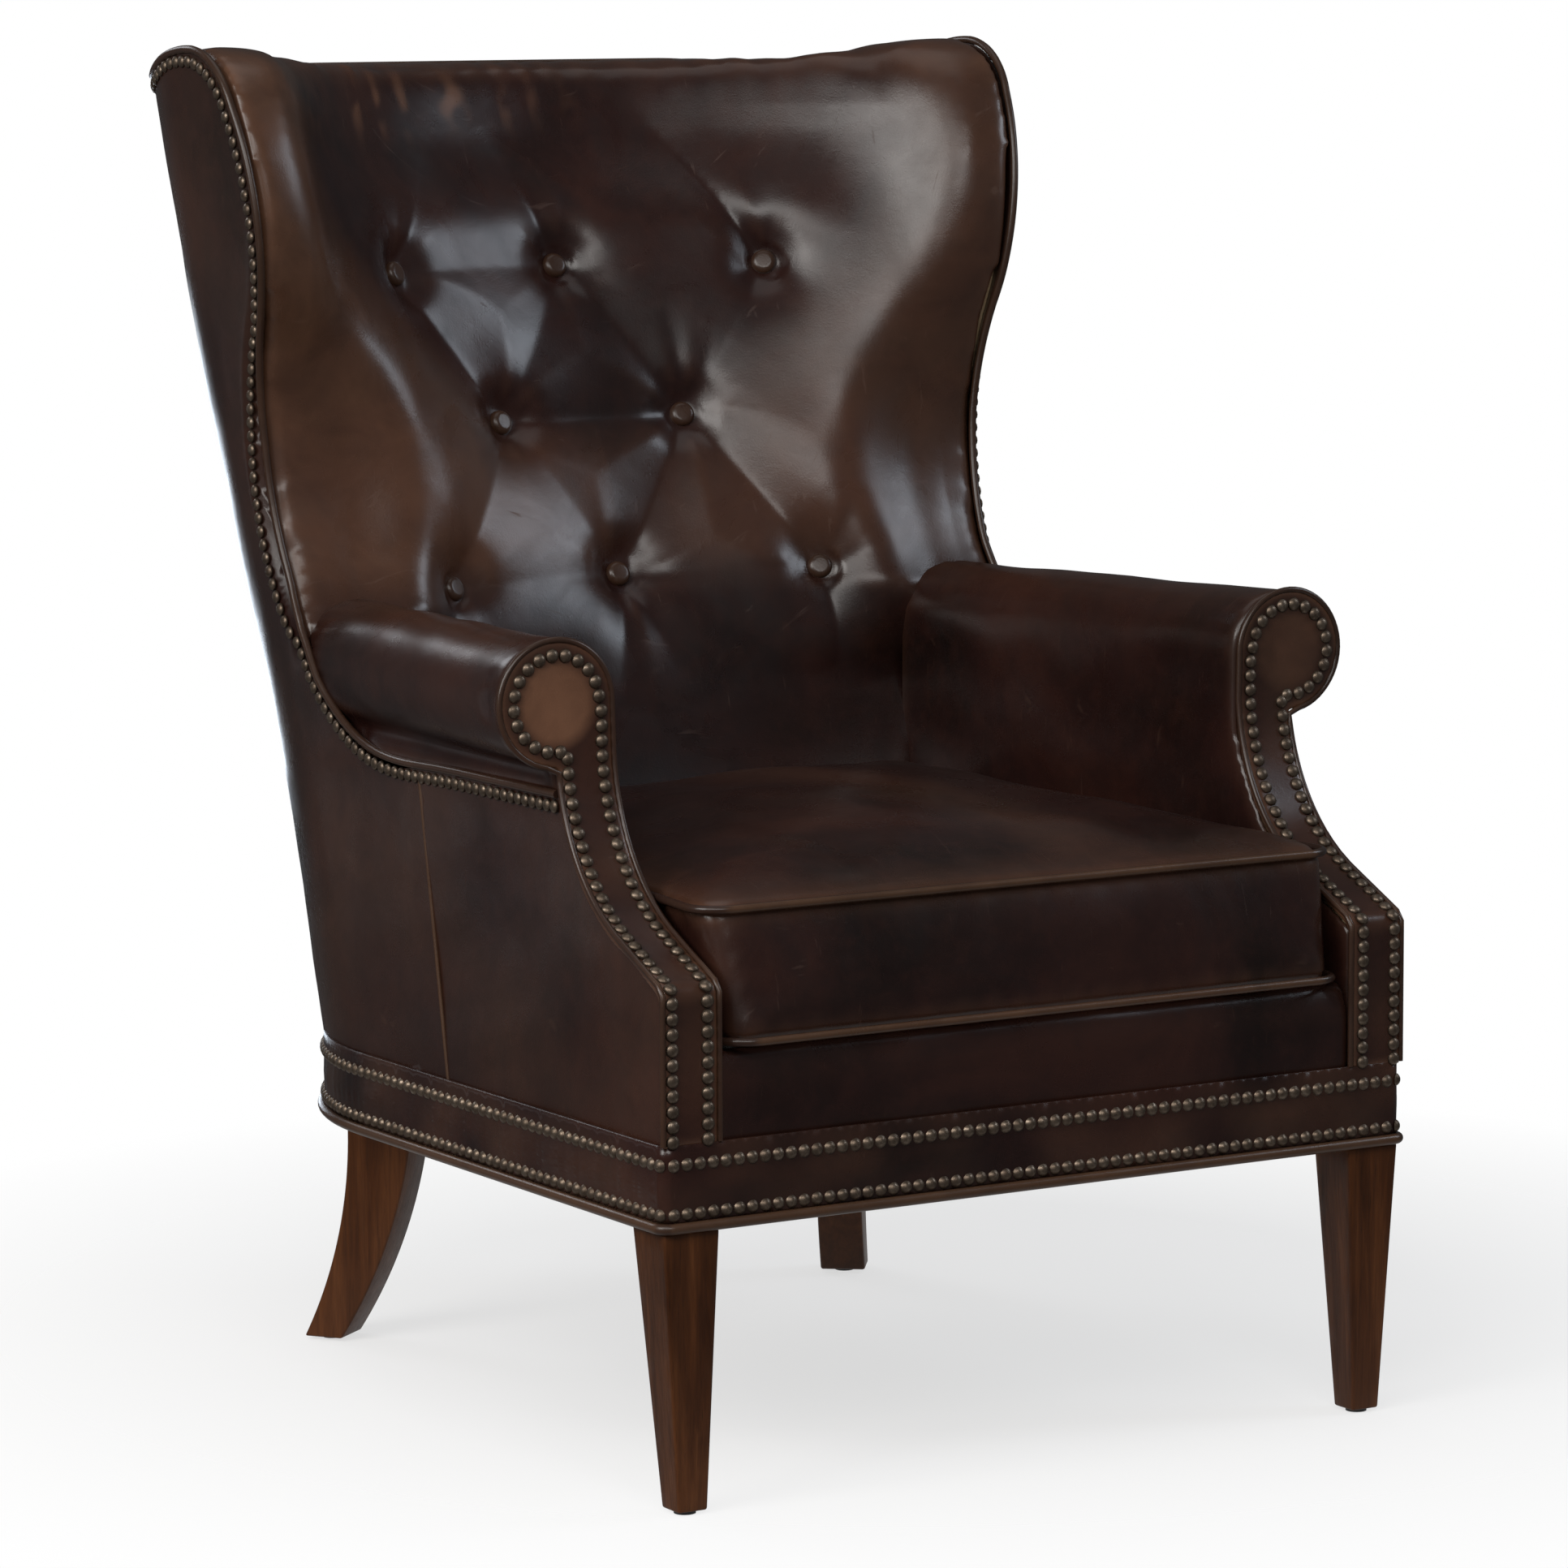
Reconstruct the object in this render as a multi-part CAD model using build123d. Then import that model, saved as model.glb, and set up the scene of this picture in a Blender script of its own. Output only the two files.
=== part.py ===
from build123d import *
from math import atan2, cos, hypot, pi, radians, sin
import os

# Leather wing chair with scroll arms, tufted barrel back and a loose seat cushion.
# Millimetres, +Z up, the chair faces -Y, left and right are as seen from the front.
# Setbacks are measured back from the front plane of the base, heights from the floor.

# Base and outside shell
BASE_HALF = 363.0           # half width over the base band
BASE_BOTTOM = 232.0         # underside of the base
BASE_TOP = 300.0            # top of the base band
PANEL_STEP = 5.0            # the outside panels stand in from the base band
FRONT_CORNER_R = 10.0       # front corners of the base
SIDE_END_LOW = 513.0        # where the side turns into the barrel, at the base
SIDE_END_HIGH = 775.0       # the same at the wing tops
CORNER_R_LOW = 290.0        # rear corner radius at the base
CORNER_R_HIGH = 150.0       # rear corner radius at the wing tops
BACK_BOW = 10.0             # bow of the back behind its corners
WING_HALF = 400.0           # half width over the wing tops
SHELL_LOW_Z = 265.0         # height where the low outline holds
SHELL_HIGH_Z = 1131.0       # height where the high outline holds
FLARE_Z = 540.0             # the sides start to flare here
BELLY = 0.5                 # extra lean of the back between low and high
SKIN = 3.0                  # leather with its backing
RAIL_T = 30.0               # thickness of the base rails
BAND_RISE = 9.0             # the band starts this far above the underside
WELT_R = 4.5                # radius of the welts
WELT_OUT = 1.5              # the base welt's centre stands out from the band

# Inside back and wings
BACK_Y = 698.0              # setback of the lowest centre button
BACK_Z = 681.0              # its height
RAKE = 0.41                 # setback gained for each unit of height
CROWN = 12.0                # padding between the buttons stands this far forward of them
BARREL_IN = 50.0            # the barrel's chord ends this far inside the wing tops
BARREL_DEPTH = 0.643        # depth of the barrel as a share of its half chord
FLAT_SAG = 12.0             # depth of the barrel at the seat
BARREL_FROM_Z = 560.0       # the back is nearly flat up to here
BARREL_FULL_Z = 760.0       # and a full barrel from here
PAD = 34.0                  # thickness of the inside back padding
EDGE_PAD = 25.0             # padding round the wing edges and the crest
WEB_T = 2.5                 # webbing thickness
FRAME_T = 38.0              # depth of the back frame members

# Wing outline in side view: setbacks and heights
WING_FOOT = (612.0, 662.0)
WING_HOLLOW = (668.0, 815.0)
WING_TURN = (652.0, 918.0)
WING_NOSE = (633.0, 1020.0)
WING_BROW = (660.0, 1112.0)
WING_SHOULDER = (683.0, 1143.0)
WING_TOP = (735.0, 1160.0)
CREST = (870.0, 1140.0)
PANEL_EDGE = 6.0            # the outside panel stops this far inside the wing outline
SEAM_LOW_Y = 364.0          # side seam of the outside panels at the base
SEAM_HIGH_Y = 411.0         # the same under the arm
PANEL_TOP_Z = 562.0         # top of the outside arm panel

# Arms
SCROLL_R = 52.0
SCROLL_OUT = 0.0            # the scroll's centre stands out from the side of the base
SCROLL_Y = 165.0            # setback of the scroll's face
SCROLL_Z = 639.0
ARM_DRIFT = 56.0            # the arm runs inwards by this much towards the back
ARM_DROP = 8.0              # and drops by this much
ARM_END_Y = 610.0           # where the arm meets the wing
ARM_WALL = 20.0             # padding of the inside arm
POST_HALF = 26.0            # half width of the facing on the post
NECK_HALF = 26.0            # half width of the facing at the neck
NECK_SWEEP_R = 165.0        # radius of the hollow in the arm front
NECK_TOP_Z = 610.0          # the arm front is upright from here
SHOULDER_ANGLE = 25.0       # slope of the shoulder in degrees
SHOULDER_R = 14.0
FACING_T = 7.0              # facing thickness
POST_T = 36.0               # depth of the front post
POST_INSET = 8.0            # the post is narrower than its facing on each side
ARM_RAIL_W = 50.0
ARM_RAIL_H = 36.0

# Back frame
BACK_POST_X = 202.0         # centre of each back post
BACK_POST_W = 36.0
WING_POST_D = 45.0
CREST_RAIL_Z = 1062.0       # underside of the crest rail
CREST_RAIL_H = 52.0
LOWER_RAIL_Z = 420.0
LOWER_RAIL_H = 50.0
WEB_W = 50.0
WEB_COUNT = 6

# Legs
GLIDE_H = 3.0
GLIDE_R = 9.0
FRONT_LEG_TOP = 51.0
FRONT_LEG_FOOT = 27.0
FRONT_LEG_MARGIN = 2.0      # the front legs stand in from the band
FRONT_FOOT_IN = 2.4         # the front feet stand in from their legs' centres
FRONT_FOOT_AHEAD = 7.0      # and ahead of them
REAR_FOOT_IN = 90.5         # the rear feet stand in from the side of the base
REAR_FOOT_Y = 750.0
REAR_SPLAY = 36.87          # rear leg plane, degrees outward from straight back
REAR_LEG_T = 42.0
REAR_FOOT_D = 36.5          # depth of the foot along the leg plane
REAR_TOP_D = 68.0           # depth of the leg at the base
REAR_SWEEP = 59.0           # the top stands this far forward of the foot
REAR_HOLLOW = 17.0          # bow of the leg's edges
BOLT_R = 4.0
BOLT_HALF = 40.0            # bolt length above and below the base
BLOCK_H = 58.0
BLOCK_LEG = 105.0           # legs of the triangular front blocks

# Seat
REAR_RAIL_Y = 600.0         # front of the straight rear seat rail
REAR_RAIL_D = 48.0
SPRING_COUNT = 5
SPRING_SPAN = 78.0          # spacing of the springs
SPRING_HALF_W = 22.0
WIRE_R = 1.9
CLIP_H = 7.0
CLIP_W = 52.0
CLIP_D = 14.0
DECK_TOP = 376.0
DECK_COVER_T = 2.5
BORDER_H = 74.0
BORDER_D = 14.5
BORDER_Y = 4.0
BORDER_R = 6.5
DUST_T = 2.0

# Loose seat cushion
CUSHION_GAP = 0.4           # over the deck
CUSHION_BOX = 107.0         # boxing height
CUSHION_FRONT_LOW = 0.0     # setback of the lower welt
CUSHION_FRONT_HIGH = 28.0   # setback of the upper welt
CUSHION_REAR_LOW = 540.0
CUSHION_REAR_HIGH = 582.0
CUSHION_SIDE_GAP = 9.0      # to the inside arms at the rear
CUSHION_FRONT_GAP_LOW = 13.0   # to the facings at the lower welt
CUSHION_FRONT_GAP_HIGH = 2.0   # and at the upper welt
CUSHION_CROWN = 28.0
CUSHION_CROWN_RUN = 0.615   # the crown rises over this share of the half width
CUSHION_CORNER_R = 22.0
CUSHION_DRAW = 4.0          # the sides draw in between the corners
CUSHION_COVER_T = 3.0
CUSHION_WELT_R = 3.5
ZIP_HALF = 210.0
ZIP_TAPE_H = 22.0
ZIP_TAPE_T = 1.2
SLIDER_L = 14.0
SLIDER_H = 8.0
SLIDER_T = 3.0
SLIDER_X = -190.0           # closed end of the zipper

# Trim
NAIL_R = 5.4
NAIL_H = 3.4
NAIL_PITCH = 12.1
NAIL_UPPER_Z = 287.0
NAIL_LOWER_Z = 247.0
NAIL_EDGE = 10.0            # nail rows stand in from the facing's edges
BUTTON_R = 11.5
BUTTON_H = 7.0
BUTTON_SHANK_R = 2.0
DIMPLE_R = 62.0
BUTTON_ROWS = ((BACK_Z, (-191.0, 0.0, 191.0)), (819.0, (-95.0, 95.0)), (955.0, (-193.0, 0.0, 193.0)))

FIT = 0.3                   # clearance between parts that only lie together
FAR = 1500.0                # beyond the chair in any direction

TOP_Z = WING_TOP[1]
PANEL_HALF = BASE_HALF - PANEL_STEP
SCROLL_X = BASE_HALF + SCROLL_OUT
BARREL_HALF = WING_HALF - BARREL_IN
BARREL_SAG = BARREL_DEPTH * BARREL_HALF
REAR_FOOT_X = BASE_HALF - REAR_FOOT_IN


def mix(low, high, share):
    return low + (high - low) * share


def shell_plan(z):
    share = (z - SHELL_LOW_Z) / (SHELL_HIGH_Z - SHELL_LOW_Z)
    lean = share + BELLY * share * share * (1 - share)
    return mix(SIDE_END_LOW, SIDE_END_HIGH, lean), mix(CORNER_R_LOW, CORNER_R_HIGH, lean)


REACH = sum(shell_plan(CREST[1] - PANEL_EDGE)) + BACK_BOW
FRONT_Y = (WELT_R + WELT_OUT - REACH) / 2


def save(name, shape):
    export_step(Pos(0, FRONT_Y, 0) * shape, f"parts/{name}.step")


def save_group(name, shapes):
    export_step(Compound([Pos(0, FRONT_Y, 0) * shape for shape in shapes]), f"parts/{name}.step")


def save_pair(name, right):
    save(f"right_{name}", right)
    save(f"left_{name}", mirror(right, about=Plane.YZ))


def block(x0, x1, y0, y1, z0, z1):
    return Pos((x0 + x1) / 2, (y0 + y1) / 2, (z0 + z1) / 2) * Box(x1 - x0, y1 - y0, z1 - z0)


def both_sides(right):
    return right + mirror(right, about=Plane.YZ)


# Outside shell: straight sides, rounded rear corners and a bowed back, blended between two heights

def shell_half(z):
    if z < FLARE_Z:
        return PANEL_HALF
    return mix(PANEL_HALF, WING_HALF, (z - FLARE_Z) / (SHELL_HIGH_Z - FLARE_Z))


def shell_wire(z, half, inset, front):
    side_end, radius = shell_plan(z)
    depth = radius + BACK_BOW
    centre_x = half - radius
    bow_r = (centre_x ** 2 + depth ** 2 - radius ** 2) / (2 * BACK_BOW)
    turn = atan2(bow_r - depth, centre_x)
    rim = radius - inset
    rear = side_end + depth - inset
    side = half - inset

    def corner(sign, angle):
        return (sign * (centre_x + rim * cos(angle)), side_end + rim * sin(angle), z)

    return Wire([
        Line((-side, front, z), (side, front, z)),
        Line((side, front, z), corner(1, 0)),
        ThreePointArc(corner(1, 0), corner(1, turn / 2), corner(1, turn)),
        ThreePointArc(corner(1, turn), (0, rear, z), corner(-1, turn)),
        ThreePointArc(corner(-1, turn), corner(-1, turn / 2), corner(-1, 0)),
        Line(corner(-1, 0), (-side, front, z)),
    ])


def shell(inset):
    steps = 8
    heights = [mix(BASE_TOP, TOP_Z + EDGE_PAD, i / (steps - 1)) for i in range(steps)]
    return Solid.make_loft([shell_wire(z, shell_half(z), inset, inset) for z in heights], True)


def base_face(inset):
    face = Face(shell_wire(SHELL_LOW_Z, BASE_HALF, inset, inset))
    front = [v for v in face.vertices() if abs(v.Y - inset) < FIT]
    return Pos(0, 0, -SHELL_LOW_Z) * face.fillet_2d(max(FRONT_CORNER_R - inset, 1.0), front)


def base_slab(inset, z0, z1):
    return Pos(0, 0, z0) * extrude(base_face(inset), z1 - z0, dir=(0, 0, 1))


# Inside back: a raked barrel, nearly flat at the seat

def back_centre(z):
    return BACK_Y + RAKE * (z - BACK_Z) - CROWN


def back_sag(z):
    share = min(max((z - BARREL_FROM_Z) / (BARREL_FULL_Z - BARREL_FROM_Z), 0), 1)
    return mix(FLAT_SAG, BARREL_SAG, share * share * (3 - 2 * share))


def back_wire(z, grow):
    sag = back_sag(z)
    radius = (BARREL_HALF ** 2 + sag ** 2) / (2 * sag)
    reach = (radius + grow) / radius
    end_x = BARREL_HALF * reach
    end_y = back_centre(z) - radius + (radius - sag) * reach
    return Wire([
        Line((-end_x, -FAR, z), (end_x, -FAR, z)),
        Line((end_x, -FAR, z), (end_x, end_y, z)),
        ThreePointArc((end_x, end_y, z), (0, back_centre(z) + grow, z), (-end_x, end_y, z)),
        Line((-end_x, end_y, z), (-end_x, -FAR, z)),
    ])


def back_space(grow):
    steps = 10
    heights = [mix(BASE_TOP - EDGE_PAD, TOP_Z + 2 * EDGE_PAD, i / (steps - 1)) for i in range(steps)]
    return Solid.make_loft([back_wire(z, grow) for z in heights], True)


# Side view outlines

def side_prism(edges):
    return extrude(Plane.YZ * Face(Wire(edges)), FAR, both=True)


def moved(point, back, down):
    return (point[0] + back, point[1] - down)


def wing_edges(back, down):
    foot, hollow, turn, nose, brow, shoulder, top, crest = [
        moved(p, back, down)
        for p in (WING_FOOT, WING_HOLLOW, WING_TURN, WING_NOSE, WING_BROW, WING_SHOULDER, WING_TOP, CREST)
    ]
    behind = (FAR, crest[1])
    return foot, [
        ThreePointArc(foot, hollow, turn),
        ThreePointArc(turn, nose, brow),
        ThreePointArc(brow, shoulder, top),
        Spline((top, crest), tangents=((1, 0), (1, 0))),
        Line(crest, behind),
    ], behind


def wing_prism(back, down):
    foot, edges, behind = wing_edges(back, down)
    low = BASE_TOP - EDGE_PAD
    front = SCROLL_Y
    loop = [Line((front, low), (front, foot[1])), Line((front, foot[1]), foot)] + edges
    loop += [Line(behind, (FAR, low)), Line((FAR, low), (front, low))]
    prism = side_prism(loop)
    inner = SCROLL_X - SCROLL_R - ARM_DRIFT - FIT
    bay = block(inner, FAR, -FAR, ARM_END_Y + back, 0, foot[1])
    return prism - bay - mirror(bay, about=Plane.YZ)


def panel_prism():
    foot, edges, behind = wing_edges(PANEL_EDGE, PANEL_EDGE)
    seam_high = (SEAM_HIGH_Y, PANEL_TOP_Z)
    under = (mix(SEAM_HIGH_Y, foot[0], 0.66), mix(PANEL_TOP_Z, foot[1], 0.2))
    loop = [Line((SEAM_LOW_Y, BASE_TOP), seam_high), ThreePointArc(seam_high, under, foot)] + edges
    loop += [Line(behind, (FAR, BASE_TOP)), Line((FAR, BASE_TOP), (SEAM_LOW_Y, BASE_TOP))]
    return side_prism(loop)


def arm_front_points():
    slope = radians(SHOULDER_ANGLE)
    start = (SCROLL_Y - NECK_SWEEP_R * (1 - sin(slope)), NECK_TOP_Z - NECK_SWEEP_R * cos(slope))
    half_way = (slope + pi / 2) / 2
    middle = (SCROLL_Y - NECK_SWEEP_R * (1 - sin(half_way)), NECK_TOP_Z - NECK_SWEEP_R * cos(half_way))
    shoulder = (0, start[1] - start[0] * sin(slope) / cos(slope))
    return shoulder, start, middle, (SCROLL_Y, NECK_TOP_Z)


def arm_front_prism(depth):
    shoulder, start, middle, neck = [moved(p, depth, depth * 0.85) for p in arm_front_points()]
    low, high, rear = 0, TOP_Z, FAR
    rise = FilletPolyline((depth, low), shoulder, start, radius=SHOULDER_R)
    loop = rise.edges() + [
        ThreePointArc(start, middle, neck),
        Line(neck, (neck[0], high)),
        Line((neck[0], high), (rear, high)),
        Line((rear, high), (rear, low)),
        Line((rear, low), (depth, low)),
    ]
    return side_prism(loop)


# Front view outlines of the right arm, drawn in X and Z

def front_rect(x0, x1, z0, z1):
    return Pos((x0 + x1) / 2, (z0 + z1) / 2) * Rectangle(x1 - x0, z1 - z0)


def along_y(sketch, y0, y1):
    return Pos(0, y0, 0) * extrude(Plane.XZ * sketch, y1 - y0, dir=(0, 1, 0))


def facing_outline(inset):
    shoulder_z = arm_front_points()[1][1]
    post_x = SCROLL_X - SCROLL_R + POST_HALF - 1
    neck_x = SCROLL_X - SCROLL_R + NECK_HALF - 1
    post = front_rect(post_x - POST_HALF + inset, post_x + POST_HALF - inset, BASE_TOP, shoulder_z)
    neck = front_rect(neck_x - NECK_HALF + inset, neck_x + NECK_HALF - inset, shoulder_z, SCROLL_Z)
    return post + neck + Pos(SCROLL_X, SCROLL_Z) * Circle(SCROLL_R - inset)


def arm_sweep(sketch, y0, y1):
    run = ARM_END_Y - SCROLL_Y
    start = (y0 - SCROLL_Y) / run
    share = (y1 - y0) / run
    plane = Plane((-ARM_DRIFT * start, y0, -ARM_DROP * start), x_dir=(1, 0, 0), z_dir=(0, -1, 0))
    face = (plane * sketch).face()
    return Solid.extrude(face, Vector(-ARM_DRIFT * share, y1 - y0, -ARM_DROP * share))


arm_in = SCROLL_X - SCROLL_R
behind_facing = arm_front_prism(FACING_T)
behind_post = arm_front_prism(FACING_T + POST_T)
facing = along_y(facing_outline(0), -FAR, FAR) & (arm_front_prism(0) - behind_facing)
front_post = along_y(facing_outline(POST_INSET), -FAR, FAR) & (behind_facing - behind_post)
post_rear = SCROLL_Y + FACING_T + POST_T

arm_outline = Pos(SCROLL_X, SCROLL_Z) * Circle(SCROLL_R)
arm_outline += front_rect(arm_in, arm_in + ARM_WALL, BASE_TOP, SCROLL_Z)
neck_outline = front_rect(arm_in, PANEL_HALF + ARM_DRIFT, PANEL_TOP_Z + FIT, SCROLL_Z)
rail_outline = Pos(SCROLL_X - WELT_R, SCROLL_Z) * Rectangle(ARM_RAIL_W, ARM_RAIL_H)
arm_rail = arm_sweep(rail_outline, post_rear, ARM_END_Y + EDGE_PAD)
arm_pad = arm_sweep(arm_outline, SCROLL_Y, ARM_END_Y) + along_y(arm_outline, 0, SCROLL_Y)

# Under the roll the arm is filled out to the outside panel's face, and runs behind the panel below its edge
outside = shell(0)
under_roll = arm_sweep(neck_outline, SCROLL_Y, ARM_END_Y) + along_y(neck_outline, 0, SCROLL_Y)
above_edge = block(0, FAR, 0, FAR, PANEL_TOP_Z + FIT, FAR) - Pos(0, -FIT, FIT) * panel_prism()
behind_panel = block(0, PANEL_HALF - SKIN - FIT, 0, FAR, BASE_TOP, FAR)
arm_pad += (under_roll & outside & above_edge) + (under_roll & behind_panel)
arm_pad = (arm_pad & behind_facing & block(0, FAR, 0, FAR, BASE_TOP, FAR)) - front_post - arm_rail

# Back, wings and their frame
lining = shell(SKIN)
inside = back_space(0)
pad_back = back_space(PAD)
web_back = back_space(PAD + WEB_T)
frame_back = back_space(PAD + WEB_T + FRAME_T)
wing_full = wing_prism(0, 0)
wing_core = wing_prism(EDGE_PAD, EDGE_PAD)
wing_behind_post = wing_prism(EDGE_PAD + WING_POST_D, EDGE_PAD)


def button_frames():
    frames = []
    for z, places in BUTTON_ROWS:
        sag = back_sag(z)
        radius = (BARREL_HALF ** 2 + sag ** 2) / (2 * sag)
        for x in places:
            depth = (radius ** 2 - x ** 2) ** 0.5
            seat = Vector(x, back_centre(z) + CROWN - radius + depth, z)
            frames.append(Plane(seat, z_dir=Vector(-x, -depth, RAKE * depth)))
    return frames


buttons = button_frames()
dimples = [frame * Pos(0, 0, DIMPLE_R) * Sphere(DIMPLE_R) for frame in buttons]
seat_up = block(-FAR, FAR, -FAR, FAR, DECK_TOP + FIT, FAR)
inside_pad = ((lining & wing_full & seat_up) - inside) - (wing_core - pad_back)
inside_pad = inside_pad - both_sides(arm_rail) - dimples
button = Pos(0, 0, BUTTON_H / 2) * Cylinder(BUTTON_R, BUTTON_H)
button = fillet(button.edges().group_by(Axis.Z)[-1], BUTTON_H * 0.8)
button += Pos(0, 0, -BUTTON_H) * Cylinder(BUTTON_SHANK_R, 3 * BUTTON_H)

back_zone = (lining & wing_core & frame_back) - web_back
wing_post = (lining & wing_core) - web_back - wing_behind_post
post_half = BACK_POST_W / 2
wing_post = wing_post & block(BACK_POST_X + 2 * post_half, FAR, -FAR, FAR, BASE_TOP, FAR)
back_post = back_zone & block(BACK_POST_X - post_half, BACK_POST_X + post_half, 0, FAR, BASE_TOP, CREST_RAIL_Z)
crest_rail = back_zone & block(-FAR, FAR, 0, FAR, CREST_RAIL_Z, CREST_RAIL_Z + CREST_RAIL_H)
crest_rail = crest_rail - both_sides(wing_post)
rail_half = BACK_POST_X - post_half
lower_rail = back_zone & block(-rail_half, rail_half, 0, FAR, LOWER_RAIL_Z, LOWER_RAIL_Z + LOWER_RAIL_H)
web_zone = (wing_core & web_back) - pad_back
web_half = BACK_POST_X + post_half
webs = []
for i in range(WEB_COUNT):
    web_z = mix(LOWER_RAIL_Z + LOWER_RAIL_H + WEB_W, CREST_RAIL_Z - 2 * WEB_W, i / (WEB_COUNT - 1))
    webs.append(web_zone & block(-web_half, web_half, 0, FAR, web_z, web_z + WEB_W))

skin = outside - lining
outside_back = skin & panel_prism()
seam_low = (SEAM_LOW_Y - FIT, BASE_TOP)
seam_top = (SEAM_HIGH_Y - FIT, PANEL_TOP_Z)
arm_panel_prism = side_prism([
    Line((-FAR, BASE_TOP), seam_low),
    Line(seam_low, seam_top),
    Line(seam_top, (-FAR, PANEL_TOP_Z)),
    Line((-FAR, PANEL_TOP_Z), (-FAR, BASE_TOP)),
])
arm_panel = skin & behind_facing & arm_panel_prism & block(0, FAR, -FAR, FAR, 0, FAR)

# Base: band, welt and rails
base_band = base_slab(0, BASE_BOTTOM + BAND_RISE, BASE_TOP) - base_slab(SKIN, 0, FAR)
rails = base_slab(SKIN, BASE_BOTTOM, BASE_TOP) - base_slab(SKIN + RAIL_T, 0, FAR)
well = base_slab(SKIN + RAIL_T, BASE_BOTTOM, BASE_TOP)
rail_end = SKIN + RAIL_T
front_rail = rails & block(-FAR, FAR, -FAR, rail_end, 0, FAR)
side_rail = rails & block(0, FAR, rail_end, SIDE_END_LOW, 0, FAR)
back_rail = rails & block(-FAR, FAR, SIDE_END_LOW, FAR, 0, FAR)
rear_seat_rail = well & block(-FAR, FAR, REAR_RAIL_Y, REAR_RAIL_Y + REAR_RAIL_D, 0, FAR)
welt_z = BASE_BOTTOM + BAND_RISE - WELT_R
welt_path = Pos(0, 0, welt_z) * base_face(-WELT_OUT).outer_wire()
welt_start = Plane(welt_path @ 0, z_dir=welt_path % 0)
base_welt = sweep(welt_start * Circle(WELT_R), path=welt_path)

# Legs, blocks, bolts and glides
leg_out = BASE_HALF - FRONT_LEG_MARGIN
leg_axis = (leg_out - FRONT_LEG_TOP / 2, FRONT_LEG_MARGIN + FRONT_LEG_TOP / 2)
front_foot = (leg_axis[0] - FRONT_FOOT_IN, leg_axis[1] - FRONT_FOOT_AHEAD)
front_leg = loft([
    Pos(front_foot[0], front_foot[1], GLIDE_H) * Rectangle(FRONT_LEG_FOOT, FRONT_LEG_FOOT),
    Pos(leg_axis[0], leg_axis[1], BASE_BOTTOM) * Rectangle(FRONT_LEG_TOP, FRONT_LEG_TOP),
])
splay = radians(REAR_SPLAY)
leg_way = Vector(sin(splay), cos(splay), 0)
leg_plane = Plane((REAR_FOOT_X, REAR_FOOT_Y, 0), x_dir=leg_way, z_dir=(cos(splay), -sin(splay), 0))
toe, heel = REAR_FOOT_D / 2, -REAR_FOOT_D / 2
top_rear, top_front = REAR_TOP_D / 2 - REAR_SWEEP, -REAR_TOP_D / 2 - REAR_SWEEP
leg_mid = (GLIDE_H + BASE_BOTTOM) / 2
leg_side = Face(Wire([
    Line((heel, GLIDE_H), (toe, GLIDE_H)),
    ThreePointArc((toe, GLIDE_H), ((toe + top_rear) / 2 - REAR_HOLLOW, leg_mid), (top_rear, BASE_BOTTOM)),
    Line((top_rear, BASE_BOTTOM), (top_front, BASE_BOTTOM)),
    ThreePointArc((top_front, BASE_BOTTOM), ((heel + top_front) / 2 - REAR_HOLLOW, leg_mid), (heel, GLIDE_H)),
]))
rear_leg = extrude(leg_plane * leg_side, REAR_LEG_T / 2, both=True)

front_block = extrude(
    Pos(0, 0, BASE_BOTTOM) * make_face(Polyline(
        (BASE_HALF - rail_end, rail_end),
        (BASE_HALF - rail_end, rail_end + BLOCK_LEG),
        (BASE_HALF - rail_end - BLOCK_LEG, rail_end),
        close=True,
    )),
    BLOCK_H,
)
front_block = front_block & well
rear_block = well & extrude(
    Plane((REAR_FOOT_X, REAR_FOOT_Y, BASE_BOTTOM), x_dir=leg_way, z_dir=(0, 0, 1))
    * Rectangle(4 * REAR_TOP_D, 2 * REAR_LEG_T),
    BLOCK_H,
)
rear_block = rear_block & block(0, FAR, REAR_RAIL_Y + REAR_RAIL_D, FAR, 0, FAR)
blocks = both_sides(front_block) + both_sides(rear_block)
rear_top = Vector(REAR_FOOT_X, REAR_FOOT_Y, 0) - leg_way * (REAR_SWEEP + REAR_TOP_D / 4)
inner_corner = leg_out - FRONT_LEG_TOP
front_bolt = ((inner_corner + BASE_HALF - rail_end) / 2, BASE_HALF - (inner_corner + BASE_HALF - rail_end) / 2)
bolts = [
    Pos(sign * x, y, BASE_BOTTOM) * Cylinder(BOLT_R, 2 * BOLT_HALF)
    for sign in (1, -1)
    for x, y in (front_bolt, (rear_top.X, rear_top.Y))
]
glides = [
    Pos(sign * x, y, GLIDE_H / 2) * Cylinder(GLIDE_R, GLIDE_H)
    for sign in (1, -1)
    for x, y in (front_foot, (REAR_FOOT_X, REAR_FOOT_Y))
]
dust_cover = base_slab(rail_end + FIT, BASE_BOTTOM, BASE_BOTTOM + DUST_T)
dust_cover = (dust_cover - rear_seat_rail - blocks).solids().sort_by(SortBy.VOLUME)[-2:]


# Seat suspension and deck

def serpentine(x, y0, y1):
    count = 2 * round((y1 - y0) / (4 * WIRE_R) / 4) + 1
    turn = (y1 - y0) / count / 2
    run = SPRING_HALF_W - turn
    edges = []
    for i in range(count + 1):
        y = y0 + 2 * turn * i
        sign = 1 if i % 2 == 0 else -1
        edges.append(Line((x - sign * run, y), (x + sign * run, y)))
        if i < count:
            end = x + sign * run
            edges.append(ThreePointArc((end, y), (end + sign * turn, y + turn), (end, y + 2 * turn)))
    return trace(edges, line_width=2 * WIRE_R)


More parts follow.
